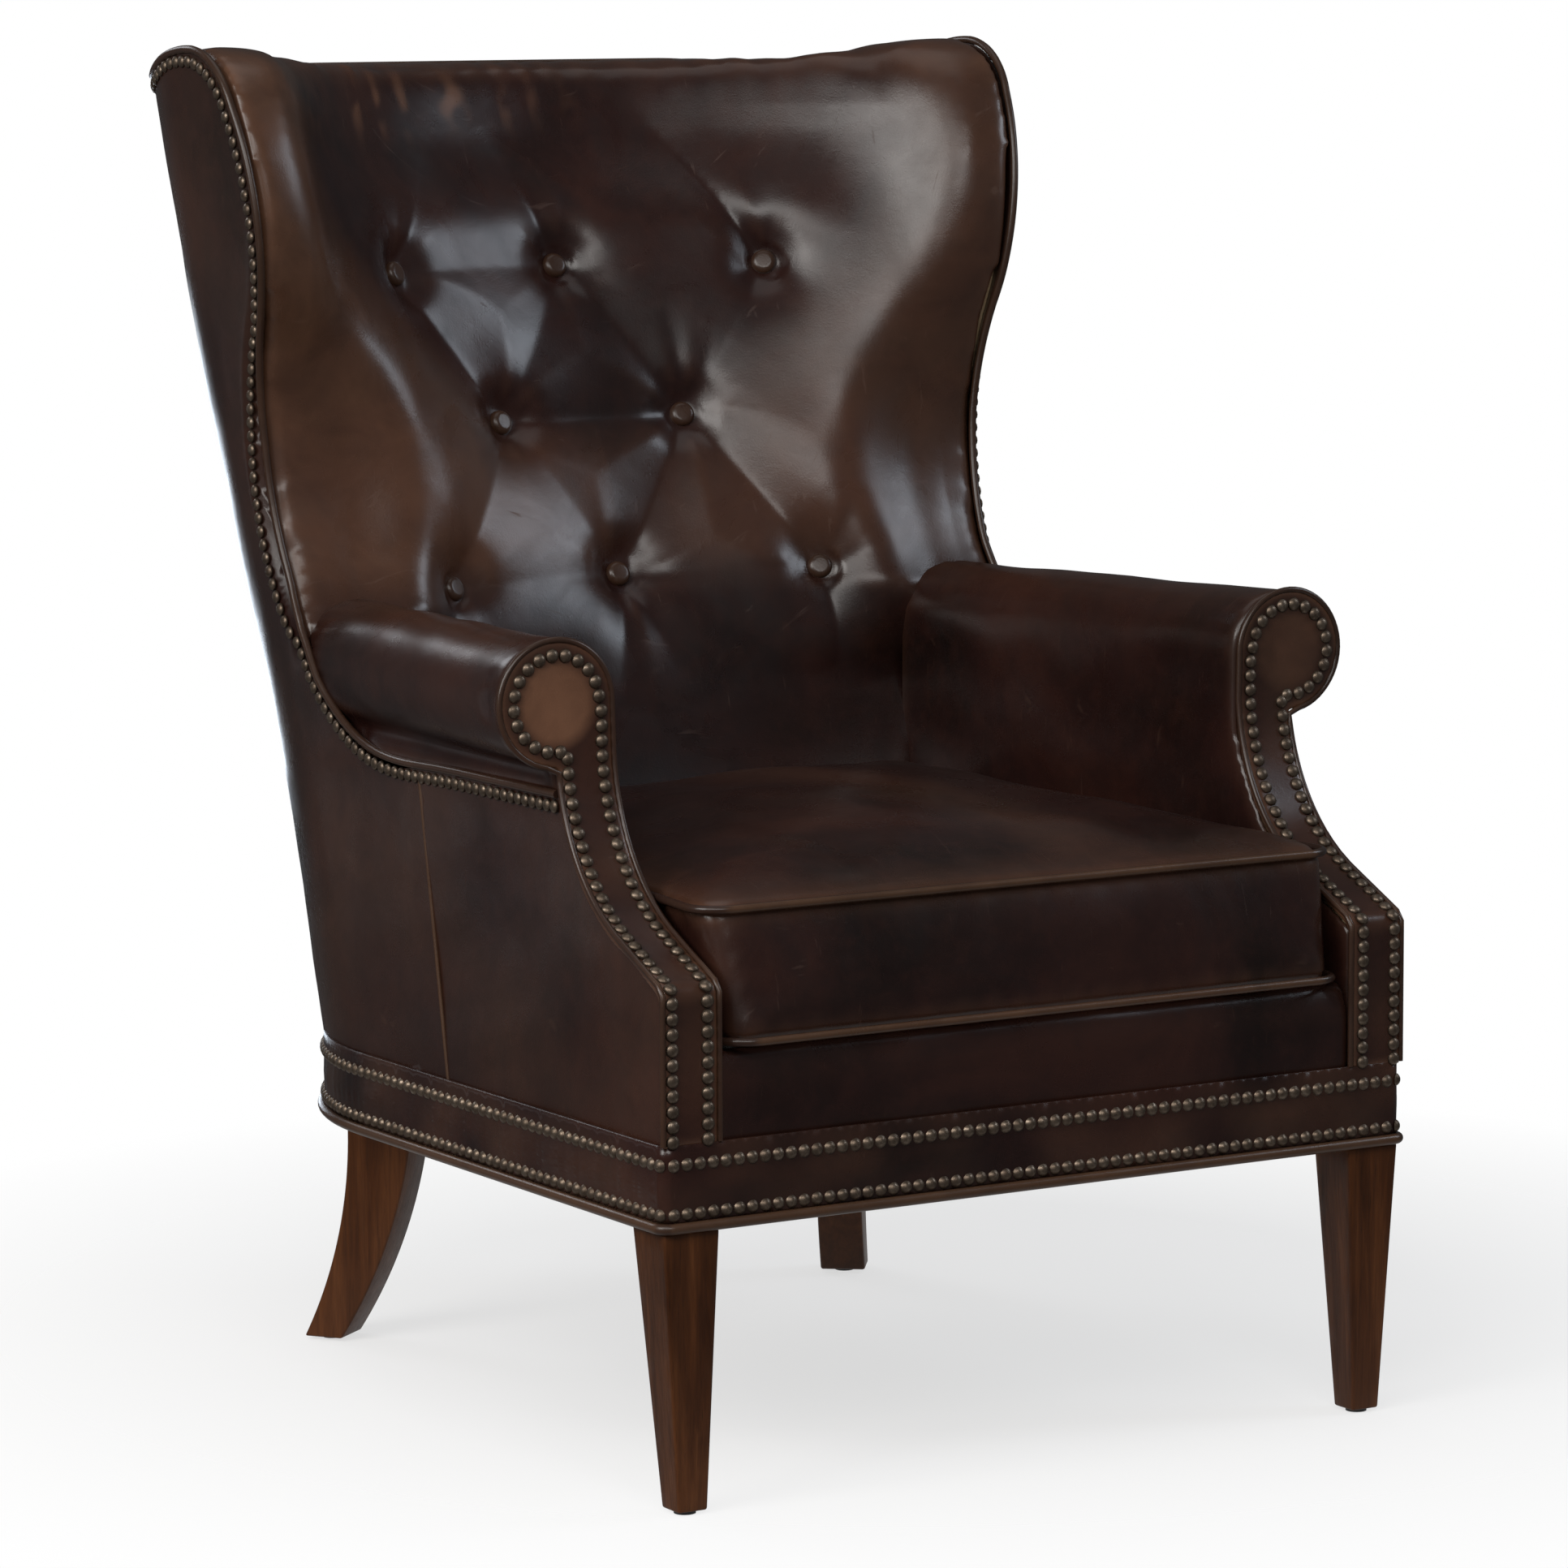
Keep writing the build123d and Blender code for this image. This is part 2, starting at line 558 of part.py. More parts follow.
spring_front = rail_end - CLIP_D / 2
spring_rear = REAR_RAIL_Y + REAR_RAIL_D / 2
spring_z = BASE_TOP + CLIP_H / 2
springs = []
clips = []
for i in range(SPRING_COUNT):
    spring_x = (i - (SPRING_COUNT - 1) / 2) * SPRING_SPAN
    zigzag = serpentine(spring_x, spring_front, spring_rear)
    springs.append(Pos(0, 0, spring_z) * extrude(zigzag, WIRE_R, both=True))
    for spring_end in (spring_front, spring_rear):
        clips.append(Pos(spring_x, spring_end, spring_z) * Box(CLIP_W, CLIP_D, CLIP_H))


def arm_gap(y):
    return arm_in - ARM_DRIFT * max(y - SCROLL_Y, 0) / (ARM_END_Y - SCROLL_Y)


deck_front = BORDER_Y + BORDER_D + FIT
deck_outline = make_face(Polyline(
    (-arm_in + FIT, deck_front),
    (arm_in - FIT, deck_front),
    (arm_in - FIT, SCROLL_Y),
    (arm_gap(REAR_RAIL_Y) - FIT, REAR_RAIL_Y),
    (FIT - arm_gap(REAR_RAIL_Y), REAR_RAIL_Y),
    (FIT - arm_in, SCROLL_Y),
    close=True,
))
deck_low = BASE_TOP + CLIP_H + FIT
deck_pad = Pos(0, 0, deck_low) * extrude(deck_outline, DECK_TOP - DECK_COVER_T - deck_low)
deck_pad = deck_pad - both_sides(front_post) - both_sides(back_post) - both_sides(facing)
deck_cover = Pos(0, 0, DECK_TOP - DECK_COVER_T) * extrude(deck_outline, DECK_COVER_T)
deck_cover = deck_cover - both_sides(front_post) - both_sides(back_post) - both_sides(facing)
border_half = arm_in - 1 - FIT
front_border = block(-border_half, border_half, BORDER_Y, BORDER_Y + BORDER_D, BASE_TOP, BASE_TOP + BORDER_H)
front_border = fillet(front_border.edges().filter_by(Axis.X).group_by(Axis.Z)[-1], BORDER_R)


# Loose cushion: boxed sides lofted between two welts, with a crowned top

cushion_lean = atan2(CUSHION_REAR_HIGH - CUSHION_REAR_LOW, CUSHION_BOX)


def cushion_wire(share, z, inset):
    front = mix(CUSHION_FRONT_LOW, CUSHION_FRONT_HIGH, share) + inset
    rear = mix(CUSHION_REAR_LOW, CUSHION_REAR_HIGH, share) - inset
    front_half = arm_in - mix(CUSHION_FRONT_GAP_LOW, CUSHION_FRONT_GAP_HIGH, share) - inset
    rear_half = arm_gap(rear + inset) - CUSHION_SIDE_GAP - inset
    middle = (front + rear) / 2
    waist = (front_half + rear_half) / 2 - CUSHION_DRAW
    face = Face(Wire([
        Line((-front_half, front, z), (front_half, front, z)),
        ThreePointArc((front_half, front, z), (waist, middle, z), (rear_half, rear, z)),
        Line((rear_half, rear, z), (-rear_half, rear, z)),
        ThreePointArc((-rear_half, rear, z), (-waist, middle, z), (-front_half, front, z)),
    ]))
    return face.fillet_2d(max(CUSHION_CORNER_R - inset, 8.0), face.vertices()).outer_wire()


def cushion_body(inset):
    low = DECK_TOP + CUSHION_GAP
    high = low + CUSHION_BOX
    sides = Solid.make_loft([
        cushion_wire(0, low + inset, inset),
        cushion_wire(1, high, inset),
    ], True)
    rise = CUSHION_CROWN - inset
    run = CUSHION_CROWN_RUN * (arm_in - CUSHION_FRONT_GAP_HIGH)
    crown = Solid.make_loft([
        cushion_wire(1, high, inset),
        cushion_wire(1, high + rise * 0.62, inset + run * 0.26),
        cushion_wire(1, high + rise * 0.92, inset + run * 0.63),
        cushion_wire(1, high + rise, inset + run),
    ])
    return sides + crown


def cushion_welt(share):
    z = DECK_TOP + CUSHION_GAP + mix(CUSHION_WELT_R, CUSHION_BOX, share)
    out = CUSHION_WELT_R / cos(cushion_lean) + FIT / 3
    path = cushion_wire(mix(CUSHION_WELT_R / CUSHION_BOX, 1, share), z, -out)
    return sweep(Plane(path @ 0, z_dir=path % 0) * Circle(CUSHION_WELT_R), path=path)


cushion_outer = cushion_body(0)
cushion_core = cushion_body(CUSHION_COVER_T)
cushion_cover = cushion_outer - cushion_core
zip_plane = Plane(
    (0, mix(CUSHION_REAR_LOW, CUSHION_REAR_HIGH, 0.5), DECK_TOP + CUSHION_GAP + CUSHION_BOX / 2),
    x_dir=(1, 0, 0),
    z_dir=(0, cos(cushion_lean), -sin(cushion_lean)),
)
zip_tape = zip_plane * Pos(0, 0, ZIP_TAPE_T / 2) * Box(2 * ZIP_HALF, ZIP_TAPE_H, ZIP_TAPE_T)
slider_z = ZIP_TAPE_T + FIT + SLIDER_T / 2
zip_slider = zip_plane * Pos(SLIDER_X, 0, slider_z) * Box(SLIDER_L, SLIDER_H, SLIDER_T)
zip_slider = fillet(zip_slider.edges().filter_by(lambda e: e.length < SLIDER_T * 1.01), 1.0)


# Dome nails

def dome_nail():
    cap_r = (NAIL_R ** 2 + NAIL_H ** 2) / (2 * NAIL_H)
    cap = Pos(0, 0, NAIL_H - cap_r) * Sphere(cap_r) & Pos(0, 0, NAIL_H / 2) * Box(3 * NAIL_R, 3 * NAIL_R, NAIL_H)
    return Pos(0, 0, FIT / 3) * cap


nail = dome_nail()


def base_nails(z):
    path = Pos(0, 0, z) * base_face(0).outer_wire()
    count = round(path.length / NAIL_PITCH)
    row = []
    for i in range(count):
        share = i / count
        along = path % share
        row.append(Plane(path @ share, z_dir=Vector(along.Y, -along.X, 0)) * nail)
    return row


def arm_front_y(z):
    shoulder, start, middle, neck = arm_front_points()
    if z >= neck[1]:
        return SCROLL_Y, 0
    if z > start[1]:
        drop = neck[1] - z
        hollow = (NECK_SWEEP_R ** 2 - drop ** 2) ** 0.5
        return SCROLL_Y - NECK_SWEEP_R + hollow, drop / hollow
    slope = cos(radians(SHOULDER_ANGLE)) / sin(radians(SHOULDER_ANGLE))
    if z > shoulder[1] + SHOULDER_R / 2:
        return (z - shoulder[1]) * slope, slope
    return 0, 0


def facing_nail(x, z):
    y, slope = arm_front_y(z)
    return Plane((x, y, z), z_dir=(0, -1, slope)) * nail


def row_heights(z0, z1):
    heights = []
    z = z0
    while z < z1:
        heights.append(z)
        slope = arm_front_y(z)[1]
        z += NAIL_PITCH / hypot(1, slope)
        shoulder_z = arm_front_points()[0][1]
        if heights[-1] <= shoulder_z < z:
            z = shoulder_z + SHOULDER_R
    return heights


def facing_nails():
    ring_r = SCROLL_R - NAIL_EDGE - NAIL_PITCH / 4
    neck_in = arm_in - 1 + NAIL_EDGE
    neck_out = arm_in - 1 + 2 * NECK_HALF - 0.8 * NAIL_EDGE
    ring_low = SCROLL_Z - ring_r
    start = BASE_TOP + NAIL_PITCH / 2
    row = [facing_nail(neck_in, z) for z in row_heights(start, SCROLL_Z)]
    row += [facing_nail(neck_out, z) for z in row_heights(start, ring_low - NAIL_PITCH / 2)]
    ring_from, ring_to = radians(172), radians(-100)
    count = round((ring_from - ring_to) * ring_r / NAIL_PITCH)
    for i in range(1, count + 1):
        angle = mix(ring_from, ring_to, i / count)
        row.append(facing_nail(SCROLL_X + ring_r * cos(angle), SCROLL_Z + ring_r * sin(angle)))
    return row


right_facing_nails = facing_nails()

save_pair("arm_facing", facing)
save_pair("front_post", front_post)
save_pair("arm_rail", arm_rail)
save_pair("arm_pad", arm_pad)
save_pair("wing_post", wing_post)
save_pair("back_post", back_post)
save_pair("outside_arm_panel", arm_panel)
save_pair("side_rail", side_rail)
save_pair("front_leg", front_leg)
save_pair("rear_leg", rear_leg)
save_group("right_facing_nails", right_facing_nails)
save_group("left_facing_nails", [mirror(n, about=Plane.YZ) for n in right_facing_nails])
save("inside_back_pad", inside_pad)
save("outside_back_panel", outside_back)
save("crest_rail", crest_rail)
save("lower_back_rail", lower_rail)
save_group("back_webbing", webs)
save_group("tufting_buttons", [frame * button for frame in buttons])
save("base_band", base_band)
save("base_welt", base_welt)
save("front_rail", front_rail)
save("back_rail", back_rail)
save("rear_seat_rail", rear_seat_rail)
save("corner_blocks", blocks)
save_group("leg_bolts", bolts)
save_group("foot_glides", glides)
save_group("dust_cover", dust_cover)
save_group("seat_springs", springs)
save_group("spring_clips", clips)
save("deck_pad", deck_pad)
save("deck_cover", deck_cover)
save("front_border", front_border)
save("cushion_cover", cushion_cover)
save("cushion_core", cushion_core)
save("cushion_top_welt", cushion_welt(1))
save("cushion_bottom_welt", cushion_welt(0))
save("zipper_tape", zip_tape)
save("zipper_slider", zip_slider)
save_group("upper_base_nails", base_nails(NAIL_UPPER_Z))
save_group("lower_base_nails", base_nails(NAIL_LOWER_Z))
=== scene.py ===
import math

import bmesh
import bpy
import numpy as np
from mathutils import Matrix, Vector


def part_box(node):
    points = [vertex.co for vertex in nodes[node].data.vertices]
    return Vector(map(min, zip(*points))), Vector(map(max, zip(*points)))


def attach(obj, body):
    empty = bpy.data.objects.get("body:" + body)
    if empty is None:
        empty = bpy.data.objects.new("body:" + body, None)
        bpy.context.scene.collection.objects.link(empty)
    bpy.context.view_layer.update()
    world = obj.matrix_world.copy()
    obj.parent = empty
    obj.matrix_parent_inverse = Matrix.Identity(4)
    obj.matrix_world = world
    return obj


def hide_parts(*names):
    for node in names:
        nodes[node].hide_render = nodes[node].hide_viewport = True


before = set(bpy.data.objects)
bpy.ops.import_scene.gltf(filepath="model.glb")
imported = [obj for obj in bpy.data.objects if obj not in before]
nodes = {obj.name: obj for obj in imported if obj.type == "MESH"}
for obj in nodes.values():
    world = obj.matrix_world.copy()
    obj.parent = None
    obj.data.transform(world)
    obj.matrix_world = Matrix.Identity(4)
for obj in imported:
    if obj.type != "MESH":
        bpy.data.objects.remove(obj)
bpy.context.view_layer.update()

collection = bpy.context.scene.collection
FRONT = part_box("front_rail")[0].y - 0.003     # the front plane of the base


# Plan of the outside shell, as the frame has it, in metres

PANEL_HALF, WING_HALF = 0.358, 0.400
FLARE_Z, LOW_Z, HIGH_Z = 0.540, 0.265, 1.131
BACK_BOW = 0.010


def mix(low, high, share):
    return low + (high - low) * share


def ease(share):
    """A smooth step from 0 to 1."""
    share = np.clip(share, 0, 1)
    return share * share * (3 - 2 * share)


def shell_plan(z):
    share = (z - LOW_Z) / (HIGH_Z - LOW_Z)
    lean = share + 0.5 * share * share * (1 - share)
    half = mix(PANEL_HALF, WING_HALF, max(0.0, (z - FLARE_Z) / (HIGH_Z - FLARE_Z)))
    return half, mix(0.513, 0.775, lean), mix(0.290, 0.150, lean)


def half_width(z):
    """Half the shell's width at an array of heights."""
    return np.interp(z, [0, FLARE_Z, HIGH_Z, 2], [PANEL_HALF, PANEL_HALF, WING_HALF, WING_HALF])


def shell_turn(half, radius):
    across, depth = half - radius, radius + BACK_BOW
    bow = (across ** 2 + depth ** 2 - radius ** 2) / (2 * BACK_BOW)
    return bow, math.atan2(bow - depth, across)


def on_shell(x, setback, z, out=0.0):
    """The point of the shell's outline at height z that lies nearest, and its outward direction."""
    half, side_end, radius = shell_plan(z)
    bow, turn = shell_turn(half, radius)
    side = 1.0 if x >= 0 else -1.0
    across = half - radius
    if setback <= side_end:
        return side * (half + out - float(tuck(setback, z))), setback, (side, 0.0)
    angle = math.atan2(setback - side_end, abs(x) - across)
    if angle <= turn:
        normal = (side * math.cos(angle), math.sin(angle))
        reach = radius + out
        return side * (across + reach * math.cos(angle)), side_end + reach * math.sin(angle), normal
    centre = side_end + radius + BACK_BOW - bow
    angle = math.atan2(setback - centre, x)
    normal = (math.cos(angle), math.sin(angle))
    return (bow + out) * normal[0], centre + (bow + out) * normal[1], normal


# Side outline of the wing and crest, as setback and height

WING_FOOT, WING_HOLLOW, WING_TURN = (0.612, 0.662), (0.668, 0.815), (0.652, 0.918)
WING_NOSE, WING_BROW = (0.633, 1.020), (0.660, 1.112)
WING_SHOULDER, WING_TOP, CREST = (0.683, 1.143), (0.735, 1.160), (0.870, 1.140)
PANEL_EDGE = 0.006


def arc_points(a, b, c, count):
    """Points on the circle from a through b to c."""
    d = 2 * (a[0] * (b[1] - c[1]) + b[0] * (c[1] - a[1]) + c[0] * (a[1] - b[1]))
    sa, sb, sc = (p[0] ** 2 + p[1] ** 2 for p in (a, b, c))
    cx = (sa * (b[1] - c[1]) + sb * (c[1] - a[1]) + sc * (a[1] - b[1])) / d
    cy = (sa * (c[0] - b[0]) + sb * (a[0] - c[0]) + sc * (b[0] - a[0])) / d
    radius = math.hypot(a[0] - cx, a[1] - cy)
    start, via, end = (math.atan2(p[1] - cy, p[0] - cx) for p in (a, b, c))
    sweep = (end - start) % (2 * math.pi)
    if (via - start) % (2 * math.pi) > sweep:
        sweep -= 2 * math.pi
    return [
        (cx + radius * math.cos(start + sweep * i / count), cy + radius * math.sin(start + sweep * i / count))
        for i in range(count + 1)
    ]


def wing_outline(back, down):
    """The wing's edge from the arm up and over its top, as setback and height."""
    points = arc_points(WING_FOOT, WING_HOLLOW, WING_TURN, 24)
    points += arc_points(WING_TURN, WING_NOSE, WING_BROW, 18)[1:]
    points += arc_points(WING_BROW, WING_SHOULDER, WING_TOP, 10)[1:]
    return [(y + back, z - down) for y, z in points]


WING_LINE = np.array(wing_outline(0, 0))


def wing_front(z):
    """Setback of the wing's front edge at heights above the arm."""
    return np.interp(z, WING_LINE[:, 1], WING_LINE[:, 0])


def tuck(setback, z):
    """How far the side is drawn in at the wing's front edge."""
    heights = (0.62, 0.70, 0.82, 0.88, 0.94, 1.06, 1.12)
    deep = np.interp(z, heights, (0, 0.012, 0.012, 0.009, 0.0055, 0.002, 0))
    return deep * (1 - ease((setback - wing_front(z)) / 0.022))


def dip(x, setback, z):
    """How far the top edge sinks at the rear corners."""
    corner = ease((np.abs(x) - 0.18) / 0.12) * ease((setback - 0.77) / 0.07)
    return 0.007 * corner * np.clip((z - 1.0) / 0.13, 0, 1)


def crest_height(setback):
    share = min(max((setback - WING_TOP[0]) / (CREST[0] - WING_TOP[0]), 0.0), 1.0)
    return mix(WING_TOP[1], CREST[1], share * share * (3 - 2 * share))


def edge_path(back, down, out):
    """Right half of the outside panel's edge, from under the arm over the wing to mid crest."""
    under = arc_points((0.411, 0.562), (mix(0.411, 0.618, 0.66), mix(0.562, 0.656, 0.2)), (0.618, 0.656), 14)
    rise = [(0.172 + 0.0149 * i, 0.562) for i in range(16)] + under
    for i in range(14):
        trios = zip(rise, rise[1:], rise[2:])
        inner = [tuple((a[k] + 2 * b[k] + c[k]) / 4 for k in (0, 1)) for a, b, c in trios]
        rise = [rise[0]] + inner + [rise[-1]]
    rise = [(y + back * 0.5, z - down) for y, z in rise]
    path = []
    for setback, z in rise + wing_outline(PANEL_EDGE + back, PANEL_EDGE + down)[1:]:
        x, y, normal = on_shell(PANEL_HALF, setback, z, out)
        path.append(Vector((x, FRONT + y, z)))
    setback = WING_TOP[0] + PANEL_EDGE + back
    half, side_end, radius = shell_plan(1.14)
    bow, turn = shell_turn(half, radius)
    while setback < side_end - 0.008:
        setback += 0.008
        z = crest_height(setback - PANEL_EDGE - back) - PANEL_EDGE - down
        x, y, normal = on_shell(WING_HALF, setback, z, out)
        path.append(Vector((x, FRONT + y, z - dip(x, y, z))))
    for i in range(24):
        angle = turn * i / 24
        across = half - radius
        guess = side_end + radius * math.sin(angle)
        z = crest_height(guess - PANEL_EDGE - back) - PANEL_EDGE - down
        x, y, normal = on_shell(across + radius * math.cos(angle), guess, z, out)
        path.append(Vector((x, FRONT + y, z - dip(x, y, z))))
    reach = path[-1].x
    for i in range(1, 25):
        z = CREST[1] - PANEL_EDGE - down
        x, y, normal = on_shell(reach * (1 - i / 24), 0.93, z, out)
        path.append(Vector((x, FRONT + y, z - dip(x, y, z))))
    return path


# Side outline of the arm's front, as setback at a height

SCROLL_X, SCROLL_Y, SCROLL_Z, SCROLL_R = 0.363, 0.165, 0.639, 0.052
NECK_TOP, SWEEP_R, SLOPE = 0.610, 0.165, math.radians(25)
SHOULDER_Y = SCROLL_Y - SWEEP_R * (1 - math.sin(SLOPE))
SHOULDER_Z = NECK_TOP - SWEEP_R * math.cos(SLOPE)
SHOULDER_FOOT = SHOULDER_Z - SHOULDER_Y * math.tan(SLOPE)


def arm_front(z):
    if z >= NECK_TOP:
        return SCROLL_Y
    if z >= SHOULDER_Z:
        return SCROLL_Y - SWEEP_R + math.sqrt(SWEEP_R ** 2 - (NECK_TOP - z) ** 2)
    if z >= SHOULDER_FOOT:
        return (z - SHOULDER_FOOT) / math.tan(SLOPE)
    return 0.0


# Mesh helpers

def merged_copy(*names):
    """One bmesh of the named frame nodes with their loose triangles joined."""
    bm = bmesh.new()
    for name in names:
        bm.from_mesh(nodes[name].data)
    bmesh.ops.remove_doubles(bm, verts=bm.verts, dist=0.00002)
    return bm


def to_mesh(bm, name):
    mesh = bpy.data.meshes.new(name)
    bm.to_mesh(mesh)
    bm.free()
    return mesh


def evaluated(mesh, add_modifiers):
    """A mesh with modifiers added by the given function and applied."""
    holder = bpy.data.objects.new("holder", mesh)
    collection.objects.link(holder)
    add_modifiers(holder)
    depsgraph = bpy.context.evaluated_depsgraph_get()
    made = bpy.data.meshes.new_from_object(holder.evaluated_get(depsgraph))
    bpy.data.objects.remove(holder)
    return made


def remeshed(bm, voxel):
    def add(holder):
        modifier = holder.modifiers.new("voxels", "REMESH")
        modifier.mode = "VOXEL"
        modifier.voxel_size = voxel
        modifier.use_smooth_shade = True
    made = evaluated(to_mesh(bm, "solid"), add)
    bm = bmesh.new()
    bm.from_mesh(made)
    return bm


def smoothed(bm, times):
    for i in range(times):
        bmesh.ops.smooth_vert(
            bm, verts=bm.verts, factor=0.5, use_axis_x=True, use_axis_y=True, use_axis_z=True)
    return bm


def refined(bm, limit):
    """A triangulated bmesh with every edge split until it is no longer than limit allows at its middle."""
    bmesh.ops.triangulate(bm, faces=bm.faces)
    for i in range(8):
        long_edges = [e for e in bm.edges if e.calc_length() > limit((e.verts[0].co + e.verts[1].co) / 2)]
        if not long_edges:
            break
        bmesh.ops.subdivide_edges(bm, edges=long_edges, cuts=1)
        bmesh.ops.triangulate(bm, faces=[f for f in bm.faces if len(f.verts) > 3])
    return bm


def places(mesh):
    co = np.empty(len(mesh.vertices) * 3)
    mesh.vertices.foreach_get("co", co)
    return co.reshape(-1, 3)


def set_places(mesh, co):
    mesh.vertices.foreach_set("co", co.astype(np.float32).ravel())
    mesh.update()


def normals_of(mesh):
    n = np.empty(len(mesh.vertices) * 3, np.float32)
    mesh.vertex_normals.foreach_get("vector", n)
    return n.reshape(-1, 3).astype(float)


def edge_pairs(mesh):
    pairs = np.empty(len(mesh.edges) * 2, np.int32)
    mesh.edges.foreach_get("vertices", pairs)
    return pairs.reshape(-1, 2)


def spread(values, pairs, times):
    """Values averaged with their neighbours along the mesh."""
    count = np.bincount(pairs.ravel(), minlength=len(values)).astype(float)
    for i in range(times):
        total = np.bincount(pairs[:, 0], values[pairs[:, 1]], len(values))
        total += np.bincount(pairs[:, 1], values[pairs[:, 0]], len(values))
        values = 0.5 * values + 0.5 * total / np.maximum(count, 1)
    return values


def set_wear_and_highlight(mesh, wear_and_highlight):
    attribute = mesh.attributes.get("wear_and_highlight") or mesh.attributes.new("wear_and_highlight", "FLOAT", "POINT")
    attribute.data.foreach_set("value", np.clip(wear_and_highlight, 0, 1).astype(np.float32))


def rub_and_highlight(mesh, scale, extra=0.0):
    """A wear attribute that is high on rounded-over edges, with extra places added: rubbed wear, and on the
    wing fronts partly a painted highlight.
    """
    co, normal, pairs = places(mesh), normals_of(mesh), edge_pairs(mesh)
    count = np.maximum(np.bincount(pairs.ravel(), minlength=len(co)), 1)[:, None]
    total = np.zeros_like(co)
    np.add.at(total, pairs[:, 0], co[pairs[:, 1]])
    np.add.at(total, pairs[:, 1], co[pairs[:, 0]])
    rise = np.einsum("ij,ij->i", co - total / count, normal)
    set_wear_and_highlight(mesh, np.clip(spread(rise, pairs, 3) / scale, 0, 1) + extra)


def ripple(points, scale, seed):
    """Smooth wave noise from a few crossing sine waves."""
    rng = np.random.default_rng(seed)
    total = np.zeros(len(points))
    for i in range(7):
        way = rng.normal(size=3)
        way *= rng.uniform(0.6, 1.6) * 2 * math.pi / scale / np.linalg.norm(way)
        total += np.sin(points @ way + rng.uniform(0, 2 * math.pi))
    return total / 3.5


def piece(name, mesh, material, body="chair", replaces=()):
    for polygon in mesh.polygons:
        polygon.use_smooth = True
    made = bpy.data.objects.new(name, mesh)
    collection.objects.link(made)
    mesh.materials.clear()
    mesh.materials.append(material)
    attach(made, body)
    if replaces:
        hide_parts(*replaces)
    return made


def tube_mesh(name, path, radius, sides=10):
    """A round cord mesh along a path, from a curve."""
    curve = bpy.data.curves.new(name, "CURVE")
    curve.dimensions = "3D"
    curve.bevel_depth = radius
    curve.bevel_resolution = max(1, sides // 4)
    curve.use_fill_caps = True
    spline = curve.splines.new("POLY")
    spline.points.add(len(path) - 1)
    for point, place in zip(spline.points, path):
        point.co = (place[0], place[1], place[2], 1)
    holder = bpy.data.objects.new(name, curve)
    collection.objects.link(holder)
    depsgraph = bpy.context.evaluated_depsgraph_get()
    mesh = bpy.data.meshes.new_from_object(holder.evaluated_get(depsgraph))
    bpy.data.objects.remove(holder)
    bpy.data.curves.remove(curve)
    return mesh


def mirrored(path):
    return [Vector((-p[0], p[1], p[2])) for p in path]


def even_path(path, pitch):
    """Points about a pitch apart along a path."""
    points = [Vector(p) for p in path]
    lengths = [0.0]
    for a, b in zip(points, points[1:]):
        lengths.append(lengths[-1] + (b - a).length)
    count = max(2, round(lengths[-1] / pitch))
    made, k = [], 0
    for i in range(count + 1):
        want = lengths[-1] * i / count
        while k < len(points) - 2 and lengths[k + 1] < want:
            k += 1
        span = max(lengths[k + 1] - lengths[k], 1e-9)
        made.append(points[k].lerp(points[k + 1], (want - lengths[k]) / span))
    return made


# Node helpers for materials

